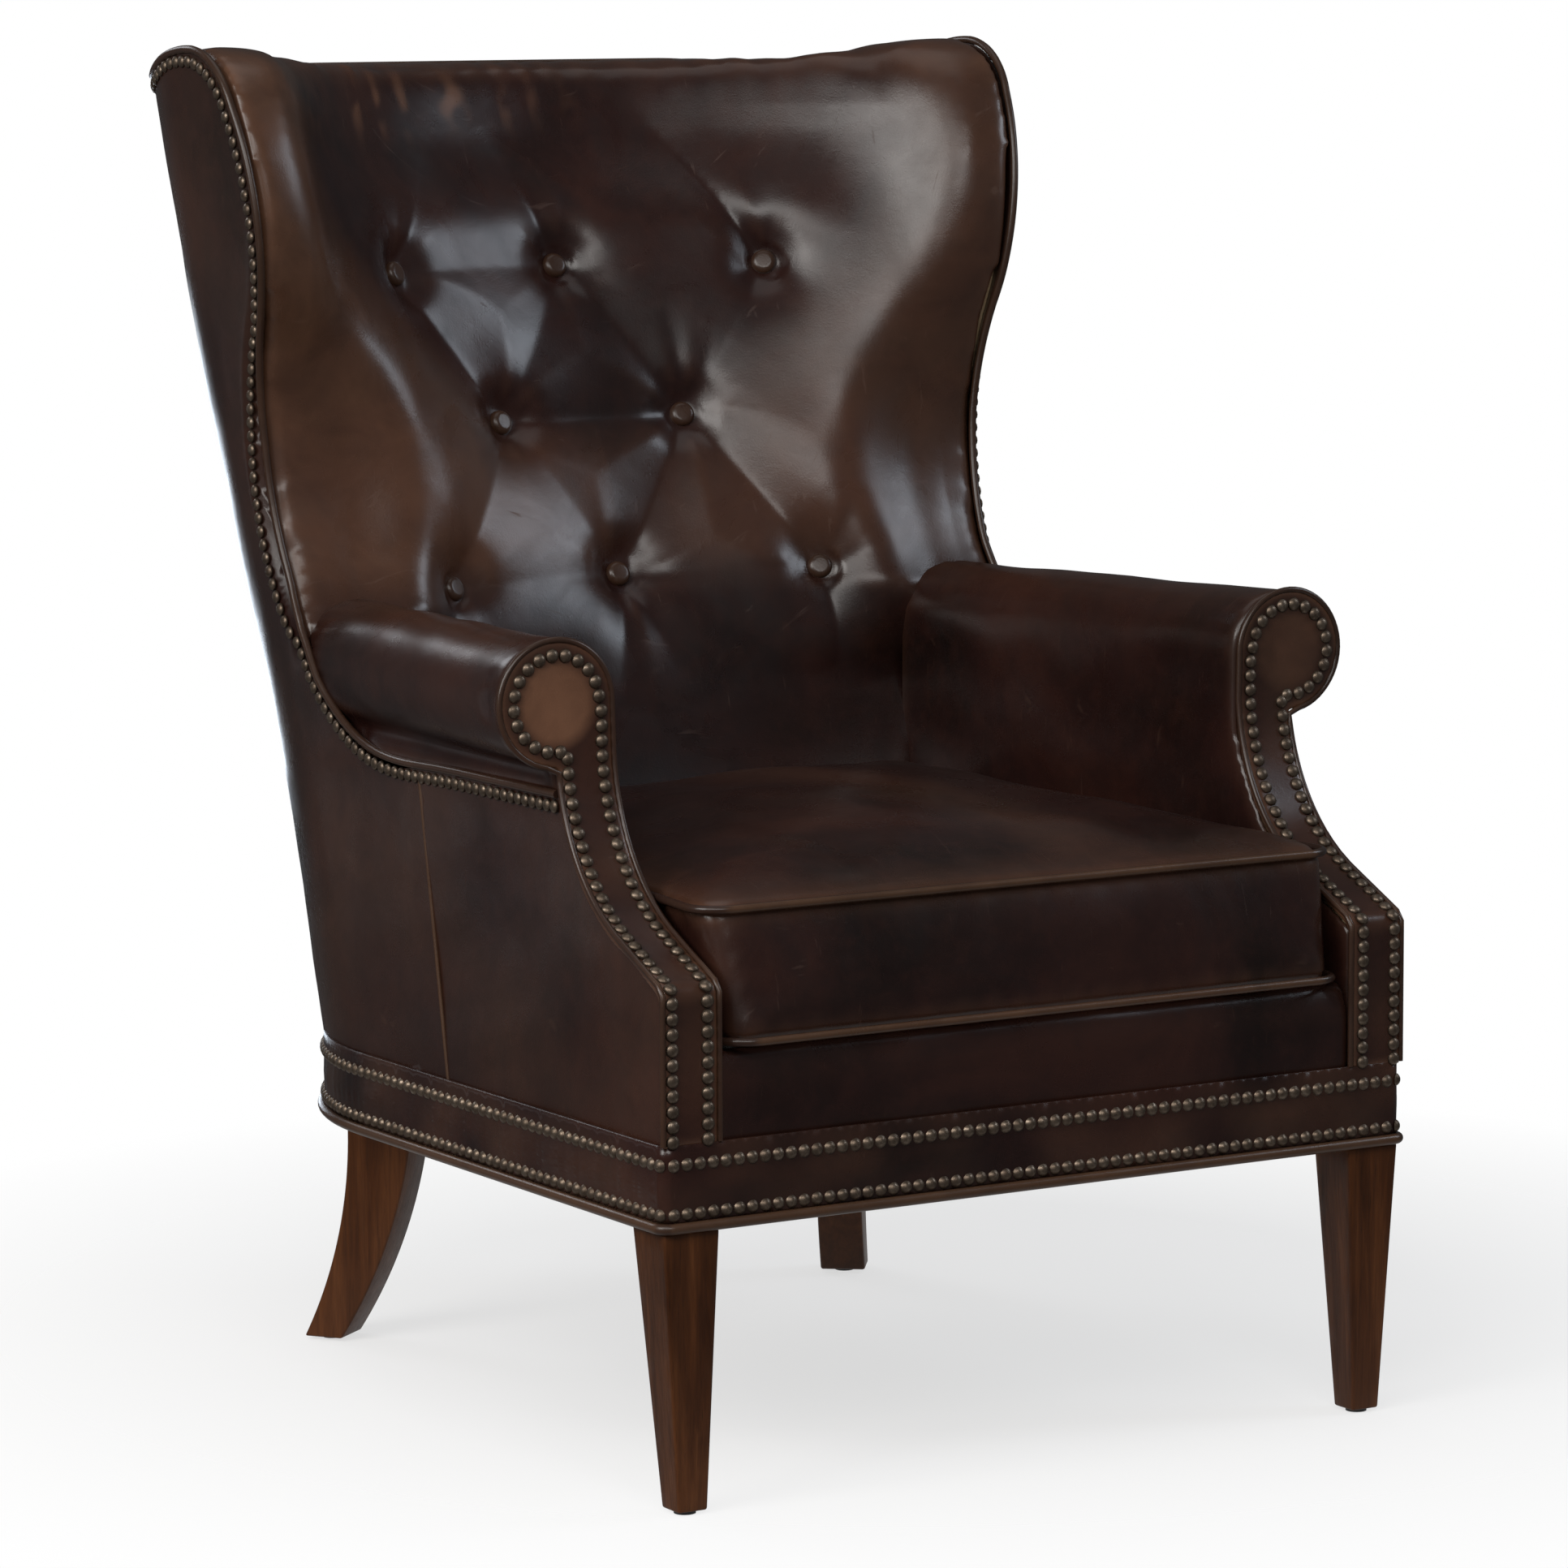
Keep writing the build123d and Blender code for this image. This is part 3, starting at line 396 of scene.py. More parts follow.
class Shade:
    def __init__(self, name):
        self.material = bpy.data.materials.new(name)
        self.material.use_nodes = True
        self.tree = self.material.node_tree
        self.shader = self.tree.nodes["Principled BSDF"]
        self.coords = self.tree.nodes.new("ShaderNodeTexCoord").outputs["Object"]

    def put(self, kind, values=None, **links):
        node = self.tree.nodes.new(kind)
        for key, value in (values or {}).items():
            if key in node.inputs.keys():
                node.inputs[key].default_value = value
            else:
                setattr(node, key, value)
        for key, source in links.items():
            self.tree.links.new(source, node.inputs[key.replace("_", " ")])
        return node

    def noise(self, scale, detail=4.0, rough=0.55, warp=0.0, stretch=None, turn=(0, 0, 0)):
        source = self.coords
        if stretch:
            values = {"Scale": stretch, "Rotation": turn}
            source = self.put("ShaderNodeMapping", values, Vector=source).outputs["Vector"]
        values = {"Scale": scale, "Detail": detail, "Roughness": rough, "Distortion": warp}
        return self.put("ShaderNodeTexNoise", values, Vector=source).outputs["Fac"]

    def cells(self, scale, feature="F1", stretch=None):
        source = self.coords
        if stretch:
            source = self.put("ShaderNodeMapping", {"Scale": stretch}, Vector=source).outputs["Vector"]
        values = {"feature": feature, "Scale": scale}
        return self.put("ShaderNodeTexVoronoi", values, Vector=source).outputs["Distance"]

    def ramp(self, source, *stops):
        node = self.put("ShaderNodeValToRGB", Fac=source)
        elements = node.color_ramp.elements
        while len(elements) < len(stops):
            elements.new(0.5)
        for element, (place, colour) in zip(elements, stops):
            element.position = place
            element.color = colour if len(colour) == 4 else (*colour, 1)
        return node.outputs["Color"]

    def span(self, source, low, high, to_low, to_high):
        values = {"From Min": low, "From Max": high, "To Min": to_low, "To Max": to_high}
        return self.put("ShaderNodeMapRange", values, Value=source).outputs["Result"]

    def maths(self, what, a, b):
        node = self.put("ShaderNodeMath", {"operation": what})
        for i, value in enumerate((a, b)):
            if isinstance(value, (int, float)):
                node.inputs[i].default_value = value
            else:
                self.tree.links.new(value, node.inputs[i])
        return node.outputs["Value"]

    def blend(self, share, a, b):
        node = self.put("ShaderNodeMix", {"data_type": "RGBA", "blend_type": "MIX"})
        for key, value in ((0, share), (6, a), (7, b)):
            if isinstance(value, (int, float)):
                node.inputs[key].default_value = value
            elif isinstance(value, tuple):
                node.inputs[key].default_value = (*value, 1) if len(value) == 3 else value
            else:
                self.tree.links.new(value, node.inputs[key])
        return node.outputs[2]

    def bump(self, height, strength, distance, under=None):
        node = self.put("ShaderNodeBump", {"Strength": strength, "Distance": distance}, Height=height)
        if under is not None:
            self.tree.links.new(under, node.inputs["Normal"])
        return node.outputs["Normal"]

    def finish(self, colour, rough, normal=None, **constants):
        self.tree.links.new(colour, self.shader.inputs["Base Color"])
        self.tree.links.new(rough, self.shader.inputs["Roughness"])
        if normal is not None:
            self.tree.links.new(normal, self.shader.inputs["Normal"])
        for key, value in constants.items():
            self.shader.inputs[key.replace("_", " ")].default_value = value
        return self.material


def attribute_fac(shade, name):
    return shade.put("ShaderNodeAttribute", {"attribute_name": name}).outputs["Fac"]


def pull_up_leather(name, dark, middle, warm, tan, wear_and_highlight_share, gloss):
    s = Shade(name)
    cloud = s.noise(4.2, 6.0, 0.6, 0.6)
    patch = s.noise(11.0, 5.0, 0.62, 1.2)
    fine = s.noise(46.0, 4.0, 0.65, 0.4)
    body = s.ramp(cloud, (0.3, dark), (0.52, middle), (0.74, warm))
    body = s.blend(s.span(patch, 0.52, 0.74, 0.0, 0.45), body, dark)
    body = s.blend(s.span(fine, 0.45, 0.75, 0.0, 0.3), body, warm)
    uneven = s.span(s.noise(16.0, 4.0, 0.6, 0.6), 0.32, 0.66, 0.62, 1.0)
    # Tan mixed in by the wear attribute: rubbed wear, and on the wing fronts partly a painted highlight.
    wear_and_highlight = s.maths("MULTIPLY", attribute_fac(s, "wear_and_highlight"), uneven)
    body = s.blend(s.maths("MULTIPLY", wear_and_highlight, wear_and_highlight_share), body, tan)
    scuff_a = s.noise(9.0, 3.0, 0.7, 0.5, stretch=(1.5, 26.0, 2.0), turn=(0.5, 0.3, 0.9))
    scuff_b = s.noise(8.0, 3.0, 0.7, 0.5, stretch=(22.0, 1.5, 2.5), turn=(0.2, 0.8, 0.4))
    scuff = s.maths("MAXIMUM", s.span(scuff_a, 0.66, 0.72, 0.0, 1.0), s.span(scuff_b, 0.67, 0.73, 0.0, 1.0))
    body = s.blend(s.maths("MULTIPLY", scuff, 0.06), body, tan)
    pores = s.cells(720.0, "SMOOTH_F1")
    creases = s.cells(95.0, "DISTANCE_TO_EDGE", stretch=(1.0, 1.0, 1.25))
    soft = s.noise(42.0, 3.0, 0.5, 0.2)
    rough = s.maths("ADD", s.span(patch, 0.3, 0.7, gloss, gloss + 0.10), s.maths("MULTIPLY", scuff, 0.1))
    normal = s.bump(soft, 0.08, 0.0022)
    normal = s.bump(s.span(creases, 0.0, 0.05, 0.0, 1.0), 0.03, 0.0005, normal)
    normal = s.bump(pores, 0.12, 0.00035, normal)
    return s.finish(body, rough, normal, Specular_IOR_Level=0.5)


def stained_wood(name, dark, middle, light):
    s = Shade(name)
    rings = s.noise(6.0, 4.0, 0.6, 0.8, stretch=(6.0, 6.0, 0.55))
    streak = s.noise(30.0, 6.0, 0.7, 0.3, stretch=(9.0, 9.0, 0.35))
    pores = s.noise(120.0, 3.0, 0.7, 0.0, stretch=(7.0, 7.0, 0.25))
    colour = s.ramp(rings, (0.28, dark), (0.5, middle), (0.76, light))
    colour = s.blend(s.span(streak, 0.4, 0.7, 0.0, 0.65), colour, dark)
    colour = s.blend(s.span(pores, 0.6, 0.72, 0.0, 0.6), colour, (0.012, 0.006, 0.004))
    wear_and_highlight = s.maths("MULTIPLY", attribute_fac(s, "wear_and_highlight"), 0.45)
    colour = s.blend(wear_and_highlight, colour, light)
    rough = s.span(streak, 0.3, 0.7, 0.3, 0.44)
    normal = s.bump(s.span(pores, 0.5, 0.75, 1.0, 0.0), 0.14, 0.0006)
    return s.finish(colour, rough, normal, Specular_IOR_Level=0.22)


def bare_wood(name):
    s = Shade(name)
    streak = s.noise(14.0, 5.0, 0.6, 0.5, stretch=(5.0, 1.0, 1.0))
    colour = s.ramp(streak, (0.3, (0.42, 0.28, 0.15)), (0.7, (0.6, 0.44, 0.27)))
    rough = s.span(streak, 0.3, 0.7, 0.6, 0.75)
    return s.finish(colour, rough, s.bump(streak, 0.2, 0.001))


def antique_brass(name):
    s = Shade(name)
    stain = s.noise(160.0, 4.0, 0.65, 0.5)
    colour = s.ramp(
        stain, (0.3, (0.085, 0.060, 0.043)), (0.55, (0.175, 0.132, 0.098)), (0.78, (0.31, 0.250, 0.195)))
    rough = s.span(stain, 0.3, 0.7, 0.5, 0.36)
    return s.finish(colour, rough, s.bump(stain, 0.15, 0.0004), Metallic=0.85)


def plain_steel(name):
    s = Shade(name)
    brushed = s.noise(220.0, 3.0, 0.6, 0.0, stretch=(1.0, 8.0, 8.0))
    colour = s.ramp(brushed, (0.3, (0.36, 0.36, 0.37)), (0.7, (0.52, 0.52, 0.53)))
    return s.finish(colour, s.span(brushed, 0.3, 0.7, 0.28, 0.42), s.bump(brushed, 0.1, 0.0003), Metallic=1.0)


def woven_cloth(name, dark, light, pitch):
    s = Shade(name)
    threads = []
    for way in ("X", "Y"):
        values = {"Scale": pitch, "Distortion": 0.6, "bands_direction": way}
        threads.append(s.put("ShaderNodeTexWave", values, Vector=s.coords).outputs["Fac"])
    weave = s.maths("MULTIPLY", *threads)
    cloud = s.noise(20.0, 4.0)
    colour = s.blend(weave, dark, light)
    colour = s.blend(s.span(cloud, 0.3, 0.7, 0.0, 0.4), colour, dark)
    return s.finish(colour, s.span(cloud, 0.3, 0.7, 0.8, 0.95), s.bump(weave, 0.4, 0.0008))


def moulded_plastic(name):
    s = Shade(name)
    grit = s.noise(500.0, 2.0)
    colour = s.ramp(grit, (0.3, (0.02, 0.02, 0.02)), (0.7, (0.05, 0.05, 0.048)))
    return s.finish(colour, s.span(grit, 0.3, 0.7, 0.45, 0.6), s.bump(grit, 0.1, 0.0003))


CHOCOLATE = pull_up_leather(
    "chocolate_leather", (0.0062, 0.0027, 0.0021), (0.0175, 0.0060, 0.0048), (0.0370, 0.0122, 0.0080),
    (0.2050, 0.0960, 0.0520), 0.85, 0.24)
PIPING = pull_up_leather(
    "piping_leather", (0.0090, 0.0045, 0.0035), (0.0210, 0.0092, 0.0066), (0.0400, 0.0175, 0.0110),
    (0.1200, 0.0600, 0.0300), 0.6, 0.26)
WALNUT = stained_wood(
    "walnut_stain", (0.0260, 0.0080, 0.0026), (0.0740, 0.0235, 0.0068), (0.1500, 0.0530, 0.0170))
SAWN = bare_wood("sawn_hardwood")
BRASS = antique_brass("antique_brass")
STEEL = plain_steel("plain_steel")
BLACK_CLOTH = woven_cloth("black_cambric", (0.010, 0.0095, 0.009), (0.035, 0.033, 0.031), 160.0)
BATTING = woven_cloth("batting", (0.55, 0.5, 0.42), (0.78, 0.74, 0.66), 60.0)
GLIDE = moulded_plastic("glide_plastic")

for name, node in nodes.items():
    if name.endswith("_nails"):
        finish = BRASS
    elif name.endswith(("_rail", "_post", "corner_blocks")):
        finish = SAWN
    elif name in ("leg_bolts", "seat_springs", "spring_clips", "zipper_slider"):
        finish = STEEL
    elif name in ("dust_cover", "back_webbing", "zipper_tape"):
        finish = BLACK_CLOTH
    elif name in ("deck_pad", "cushion_core"):
        finish = BATTING
    elif name == "foot_glides":
        finish = GLIDE
    elif name.endswith("_leg"):
        finish = WALNUT
    elif name.endswith("welt"):
        finish = PIPING
    else:
        finish = CHOCOLATE
    node.data.materials.clear()
    node.data.materials.append(finish)


# Inside back, wings and crest: one stuffed wrap with pulled buttons

BUTTONS = [(-0.191, 0.681), (0.0, 0.681), (0.191, 0.681), (-0.095, 0.819), (0.095, 0.819),
           (-0.193, 0.955), (0.0, 0.955), (0.193, 0.955)]
# Folds pulled between buttons: the two buttons, depth, how far the slopes reach, and the share left half way
FOLDS = [
    (5, 3, 0.0165, 0.078, 0.88), (3, 4, 0.0150, 0.070, 0.72), (4, 2, 0.0165, 0.082, 0.85),
    (4, 1, 0.0155, 0.075, 0.75), (6, 3, 0.0080, 0.060, 0.35), (6, 4, 0.0090, 0.060, 0.40),
    (7, 4, 0.0085, 0.060, 0.35), (3, 0, 0.0095, 0.060, 0.45), (3, 1, 0.0070, 0.055, 0.30),
    (5, 6, 0.0075, 0.055, 0.35), (0, 1, 0.0060, 0.050, 0.30), (1, 2, 0.0060, 0.050, 0.30),
]
# Short pleats that fan out of a button: button, direction in degrees, length, depth
PLEATS = [
    (4, 62, 0.11, 0.0085), (4, 92, 0.11, 0.0070), (4, 128, 0.14, 0.0065), (4, 24, 0.07, 0.0050),
    (4, 172, 0.08, 0.0045), (6, 112, 0.15, 0.0110), (6, 78, 0.08, 0.0040), (7, 122, 0.19, 0.0120),
    (7, 80, 0.08, 0.0045), (7, 215, 0.09, 0.0040), (5, 58, 0.13, 0.0080), (5, 105, 0.11, 0.0060),
    (5, -20, 0.08, 0.0045), (3, 60, 0.09, 0.0060), (3, 195, 0.09, 0.0050), (0, 250, 0.12, 0.0070),
    (0, 90, 0.08, 0.0045), (1, 255, 0.14, 0.0080), (1, 290, 0.12, 0.0065), (1, 70, 0.07, 0.0045),
    (2, 275, 0.13, 0.0075), (2, 20, 0.08, 0.0050), (2, 60, 0.09, 0.0050),
]
BARREL_R, RAKE_STRETCH = 0.385, 1.08     # the barrel's radius, and its slope's length over its height
PUFF, DEEPEST = 0.0115, 0.019            # height of the stuffing, and the deepest a fold draws it in


def along_line(flat, a, b):
    """Share of the way from a to b, and distance from that line."""
    way = b - a
    along = np.clip((flat - a) @ way / (way @ way), 0, 1)
    return along, np.linalg.norm(flat - a - along[:, None] * way, axis=1)


def pulled(flat, a, b, depth, reach, middle):
    """Depth of a fold along the line from a to b, narrow at the buttons and broad half way."""
    along, away = along_line(flat, a, b)
    swell = np.sin(math.pi * along)
    here = reach * (0.36 + 0.64 * swell)
    return depth * mix(0.66, middle, swell) * np.clip(1 - np.sqrt(away ** 2 + 0.003 ** 2) / here, 0, 1) ** 2


def pleat(flat, a, b, depth):
    """Depth of a pleat that starts narrow at a and fades out towards b."""
    along, away = along_line(flat, a, b)
    reach = 0.020 + 0.034 * along
    return depth * (1 - along) ** 1.1 * np.clip(1 - np.sqrt(away ** 2 + 0.0025 ** 2) / reach, 0, 1) ** 2


def relax(mesh, weight, times):
    """Points drawn towards their neighbours' middle, each by its weight."""
    co, pairs = places(mesh), edge_pairs(mesh)
    count = np.maximum(np.bincount(pairs.ravel(), minlength=len(co)), 1)[:, None]
    for i in range(times):
        total = np.empty_like(co)
        for k in range(3):
            total[:, k] = np.bincount(pairs[:, 0], co[pairs[:, 1], k], len(co))
            total[:, k] += np.bincount(pairs[:, 1], co[pairs[:, 0], k], len(co))
        co = co + weight[:, None] * 0.6 * (total / count - co)
    set_places(mesh, co)


def inside_back():
    bm = smoothed(remeshed(merged_copy("inside_back_pad"), 0.008), 4)
    mesh = to_mesh(bm, "inside_back")
    co = places(mesh)
    setback, across = co[:, 1] - FRONT, np.abs(co[:, 0])
    half = half_width(co[:, 2])
    roll = np.clip((0.085 - (setback - wing_front(co[:, 2]))) / 0.03, 0, 1)
    roll *= np.clip((co[:, 2] - 0.668) / 0.02, 0, 1)
    roll *= np.clip((half - 0.016 - across) / 0.012, 0, 1) * np.clip((across - 0.16) / 0.05, 0, 1)
    crest = 0.35 * np.clip((co[:, 2] - 1.09) / 0.02, 0, 1) * (setback < 0.93)
    relax(mesh, np.maximum(roll, crest * np.clip((half - 0.016 - across) / 0.012, 0, 1)), 34)
    bm = bmesh.new()
    bm.from_mesh(mesh)
    bm.normal_update()
    seen = []
    for face in bm.faces:
        c, n = face.calc_center_median(), face.normal
        rear = n.y > 0.3 and c.z < 1.105
        outer = abs(c.x) > 0.32 and n.x * c.x > 0.7 * abs(c.x)
        if not rear and not outer and n.z > -0.6:
            seen.append(face)
    edges = list({edge for face in seen for edge in face.edges})
    bmesh.ops.subdivide_edges(bm, edges=edges, cuts=1, use_grid_fill=True, smooth=0.0)
    mesh = to_mesh(smoothed(bm, 3), "inside_back")
    co, normal = places(mesh), normals_of(mesh)
    inward = np.clip((-normal[:, 1] - 0.05) / 0.2, 0, 1) * np.clip((0.335 - np.abs(co[:, 0])) / 0.04, 0, 1)
    inward *= np.clip((co[:, 2] - 0.40) / 0.05, 0, 1)
    arc = np.arcsin(np.clip(co[:, 0] / BARREL_R, -0.98, 0.98)) * BARREL_R
    flat = np.stack([arc, co[:, 2] * RAKE_STRETCH], axis=1)
    spots = [np.array([BARREL_R * math.asin(x / BARREL_R), z * RAKE_STRETCH]) for x, z in BUTTONS]
    draws = [pulled(flat, spots[a], spots[b], deep, reach, middle) for a, b, deep, reach, middle in FOLDS]
    for spot, angle, length, deep in PLEATS:
        way = np.array([math.cos(math.radians(angle)), math.sin(math.radians(angle))]) * length
        draws.append(0.85 * pleat(flat, spots[spot], spots[spot] + way, deep))
    nearest = np.min([np.linalg.norm(flat - spot, axis=1) for spot in spots], axis=0)
    seat = ease((0.021 - nearest) / 0.010)
    low = np.exp(-(nearest / 0.046) ** 2)
    depth = DEEPEST * np.tanh(np.sum(np.array(draws) ** 4, axis=0) ** 0.25 / DEEPEST)
    field = ease((co[:, 2] - 0.50) / 0.14) * ease((1.08 - co[:, 2]) / 0.10)
    field *= ease((0.30 - np.abs(co[:, 0])) / 0.08)
    push = PUFF * field * (1 - 0.86 * low) - depth * (1 - 0.45 * low) + 0.0022 * ripple(co, 0.22, 4)
    push = mix(push, -0.0015, seat)
    co = co + normal * (push * inward)[:, None]
    top = np.clip((co[:, 2] - 1.085) / 0.05, 0, 1)
    pucker = np.sin(co[:, 0] * 2 * math.pi / 0.034 + 2.2 * np.sin(co[:, 0] * 31)) * 0.0005 * top
    co[:, 2] += np.where(np.abs(co[:, 0]) < 0.33, pucker, 0)
    setback, across = co[:, 1] - FRONT, np.abs(co[:, 0])
    co[:, 2] -= dip(co[:, 0], setback, co[:, 2])
    half = half_width(co[:, 2])
    inset = half - across
    hump = np.interp(setback, (0.66, 0.72, 0.78, 0.84), (0, 1, 1, 0))
    hump = np.clip((hump * (co[:, 2] - 1.10)) / 0.04, 0, 1)
    sink = 0.005 * np.clip((inset - 0.03) / 0.07, 0, 1) ** 2
    sink += 0.006 * np.clip((0.03 - inset) / 0.03, 0, 1) ** 2
    co[:, 2] -= hump * sink
    co[:, 0] -= np.sign(co[:, 0]) * tuck(setback, co[:, 2]) * ease((0.07 - inset) / 0.05)
    set_places(mesh, co)
    normal = normals_of(mesh)
    setback = co[:, 1] - FRONT
    # Lighter tan band down the wing fronts: partly rubbed wear, partly a painted highlight where the light
    # falls on the front rolls.
    edge = np.clip((0.075 - (setback - wing_front(co[:, 2]))) / 0.05, 0, 1)
    edge *= np.clip(-normal[:, 1] * 1.5, 0, 1)
    edge *= np.clip((co[:, 2] - 0.66) / 0.05, 0, 1)
    streaks = np.clip(np.sin(co[:, 0] * 2 * math.pi / 0.047 + 2 * np.sin(co[:, 0] * 37)) - 0.2, 0, 1)
    streaks *= np.exp(-((co[:, 2] - 1.104) / 0.022) ** 2) * np.exp(-((co[:, 0] + 0.13) / 0.13) ** 2)
    streaks *= (normal[:, 1] < 0.2) * np.clip(0.6 + ripple(co, 0.03, 17), 0, 1)
    # Both bands carry painted highlight; the left band gets more of it, the side the light comes from.
    edge *= np.where(co[:, 0] < 0, 0.40, 0.24)
    crest = np.clip((co[:, 2] - 1.12) / 0.02, 0, 1)
    rub_and_highlight(mesh, 0.0016, edge + 0.18 * crest + 0.9 * streaks)
    return piece("inside_back", mesh, CHOCOLATE, replaces=["inside_back_pad"])


# Arms: rolled tops over straight inside walls

def arm(side):
    node = f"{side}_arm_pad"
    bm = smoothed(remeshed(merged_copy(node), 0.0055), 4)
    mesh = to_mesh(bm, f"{side}_arm")
    co, normal = places(mesh), normals_of(mesh)
    setback = co[:, 1] - FRONT
    push = 0.0010 * ripple(co, 0.11, 7 if side == "left" else 9)
    roll = np.clip((co[:, 2] - 0.60) / 0.03, 0, 1)
    end = np.exp(-(((setback - 0.61) / 0.06) ** 2)) + 0.8 * np.exp(-(((setback - 0.178) / 0.035) ** 2))
    push += roll * end * 0.0004 * np.sin(np.arctan2(co[:, 2] - SCROLL_Z, np.abs(co[:, 0]) - 0.335) * 17)
    edge = (setback > 0.182) & (setback < 0.600)
    co = co + normal * (push * np.where(edge, 1, 0.25))[:, None]
    co[:, 1] += 0.016 * ease((setback - 0.565) / 0.035)
    set_places(mesh, co)
    outer = np.clip((np.abs(co[:, 0]) - 0.335) / 0.01, 0, 1) * np.clip((setback - 0.178) / 0.02, 0, 1)
    co[:, 0] -= np.sign(co[:, 0]) * 0.009 * outer * np.exp(-(((co[:, 2] - 0.583) / 0.011) ** 2))
    set_places(mesh, co)
    top = np.clip(normal[:, 2], 0, 1) ** 3 * 0.10
    rub_and_highlight(mesh, 0.0040, top)
    return piece(f"{side}_arm", mesh, CHOCOLATE, replaces=[node])


def arm_face(side):
    node = f"{side}_arm_facing"
    bm = smoothed(remeshed(merged_copy(node), 0.0026), 3)
    mesh = to_mesh(bm, f"{side}_arm_face")
    co, normal = places(mesh), normals_of(mesh)
    set_places(mesh, co + normal * (0.0005 * ripple(co, 0.07, 3))[:, None])
    disc = np.clip((0.040 - np.hypot(np.abs(co[:, 0]) - SCROLL_X, co[:, 2] - SCROLL_Z)) / 0.012, 0, 1)
    rub_and_highlight(mesh, 0.0005, 0.12 + (0.88 if side == "left" else 0.22) * disc + 0.08 * ripple(co, 0.1, 5))
    return piece(f"{side}_arm_face", mesh, CHOCOLATE, replaces=[node])


def face_edge(side):
    """Welt round the arm's front: up the outer edge, round the scroll and down the inner edge."""
    inner, outer, join_z = 0.310, 0.362, 0.588
    heights = [0.303 + 0.008 * i for i in range(38)]
    path = [Vector((outer, FRONT + arm_front(z) + 0.001, z)) for z in heights if z < join_z]
    start = math.asin((join_z - SCROLL_Z) / SCROLL_R)
    for i in range(41):
        angle = mix(start, math.pi, i / 40)
        z = SCROLL_Z + SCROLL_R * math.sin(angle)
        path.append(Vector((SCROLL_X + SCROLL_R * math.cos(angle), FRONT + arm_front(z) + 0.001, z)))
    path += [Vector((inner, FRONT + arm_front(z) + 0.001, z)) for z in reversed(heights)]
    if side == "left":
        path = mirrored(path)
    mesh = tube_mesh(f"{side}_face_welt", path, 0.0026)
    rub_and_highlight(mesh, 0.002, 0.15)
    return piece(f"{side}_face_welt", mesh, PIPING)


# Outside panels drawn over the shell

def panel_wave(co):
    """Slight looseness of the leather over the shell."""
    return 0.0009 * ripple(co, 0.2, 12) + 0.0003 * ripple(co, 0.07, 13)


def outside_panel(node, name):
    def limit(middle):
        near_edge = middle.z > 0.6 and middle.y - FRONT - wing_front(middle.z) < 0.055
        return 0.009 if near_edge else 0.024
    bm = refined(merged_copy(node), limit)
    outward, facing = [], []
    for vert in bm.verts:
        x, setback, z = vert.co.x, vert.co.y - FRONT, vert.co.z
        half, side_end, radius = shell_plan(z)
        px, py, normal = on_shell(x, setback, z)
        depth = (x - px) * normal[0] + (setback - py) * normal[1]
        if setback <= side_end:
            depth = abs(x) - half
        outer = depth > -0.0015
        px, py, normal = on_shell(x, setback, z, 0.0 if outer else -0.003)
        above, below = on_shell(px, py, z + 0.01), on_shell(px, py, z - 0.01)
        ahead, behind = on_shell(px, py - 0.004, z), on_shell(px, py + 0.004, z)
        lean = ((above[0] - below[0]) * normal[0] + (above[1] - below[1]) * normal[1]) / 0.02
        turn = (behind[0] - ahead[0]) * normal[0] / 0.008 if setback <= side_end else 0.0
        vert.co = (px, FRONT + py, z - dip(px, py, z))
        outward.append((normal[0], normal[1], 0))
        facing.append(Vector((normal[0], normal[1] - turn, -lean)).normalized() * (1 if outer else -1))
    bmesh.ops.recalc_face_normals(bm, faces=bm.faces)
    mesh = to_mesh(bm, name)
    co, outward, facing = places(mesh), np.array(outward), np.array([tuple(f) for f in facing])
    wave = panel_wave(co)
    slope = np.stack([panel_wave(co + step) - wave for step in np.eye(3) * 0.002], axis=1) / 0.002
    slope -= np.einsum("ij,ij->i", slope, outward)[:, None] * outward
    set_places(mesh, co + outward * wave[:, None])
    set_wear_and_highlight(mesh, 0.10 + 0.07 * ripple(co, 0.25, 6))
    made = piece(name, mesh, CHOCOLATE, replaces=[node])
    facing = facing - slope
    facing /= np.linalg.norm(facing, axis=1)[:, None]
    mesh.normals_split_custom_set_from_vertices([tuple(f) for f in facing])
    return made


def edge_welts():
    """Piping along the outside panel's edge, from under each arm over the wings and the crest."""
    right = edge_path(-0.003, -0.003, 0.0005)
    path = even_path(right + list(reversed(mirrored(right)))[1:], 0.006)
    mesh = tube_mesh("wing_welt", path, 0.0036)
    rub_and_highlight(mesh, 0.0016, 0.06)
    return piece("wing_welt", mesh, PIPING)


BORDER_PITCH, BORDER_NAIL = 0.0120, (0.0058, 0.0036)     # spacing, and a head's radius and height
FACE_PITCH, FACE_NAIL = 0.0123, (0.0060, 0.0040)


def dome(bm, place, out, radius, height):
    """A low round nail head seated on a surface."""
    turn = Vector(out).to_track_quat("Z", "Y").to_matrix().to_4x4()
    made = bmesh.ops.create_uvsphere(bm, u_segments=12, v_segments=6, radius=radius)["verts"]
    for vert in made:
        vert.co.z = max(vert.co.z, 0) * height / radius
    bmesh.ops.transform(bm, matrix=Matrix.Translation(place) @ turn, verts=made)


def border_nails():
    bm = bmesh.new()
    right = edge_path(0.0075, 0.0075, 0.0004)
    for place in even_path(right, BORDER_PITCH):
        setback = place.y - FRONT
        x, y, normal = on_shell(place.x, setback, place.z)
        for side in (1, -1):
            if side < 0 and place.x < 0.004:
                continue
            spot = Vector((side * place.x, place.y, place.z))
            dome(bm, spot, (side * normal[0], normal[1], 0), *BORDER_NAIL)
    bmesh.ops.remove_doubles(bm, verts=bm.verts, dist=0.00002)
    bmesh.ops.recalc_face_normals(bm, faces=bm.faces)
    return piece("border_nails", to_mesh(bm, "border_nails"), BRASS)


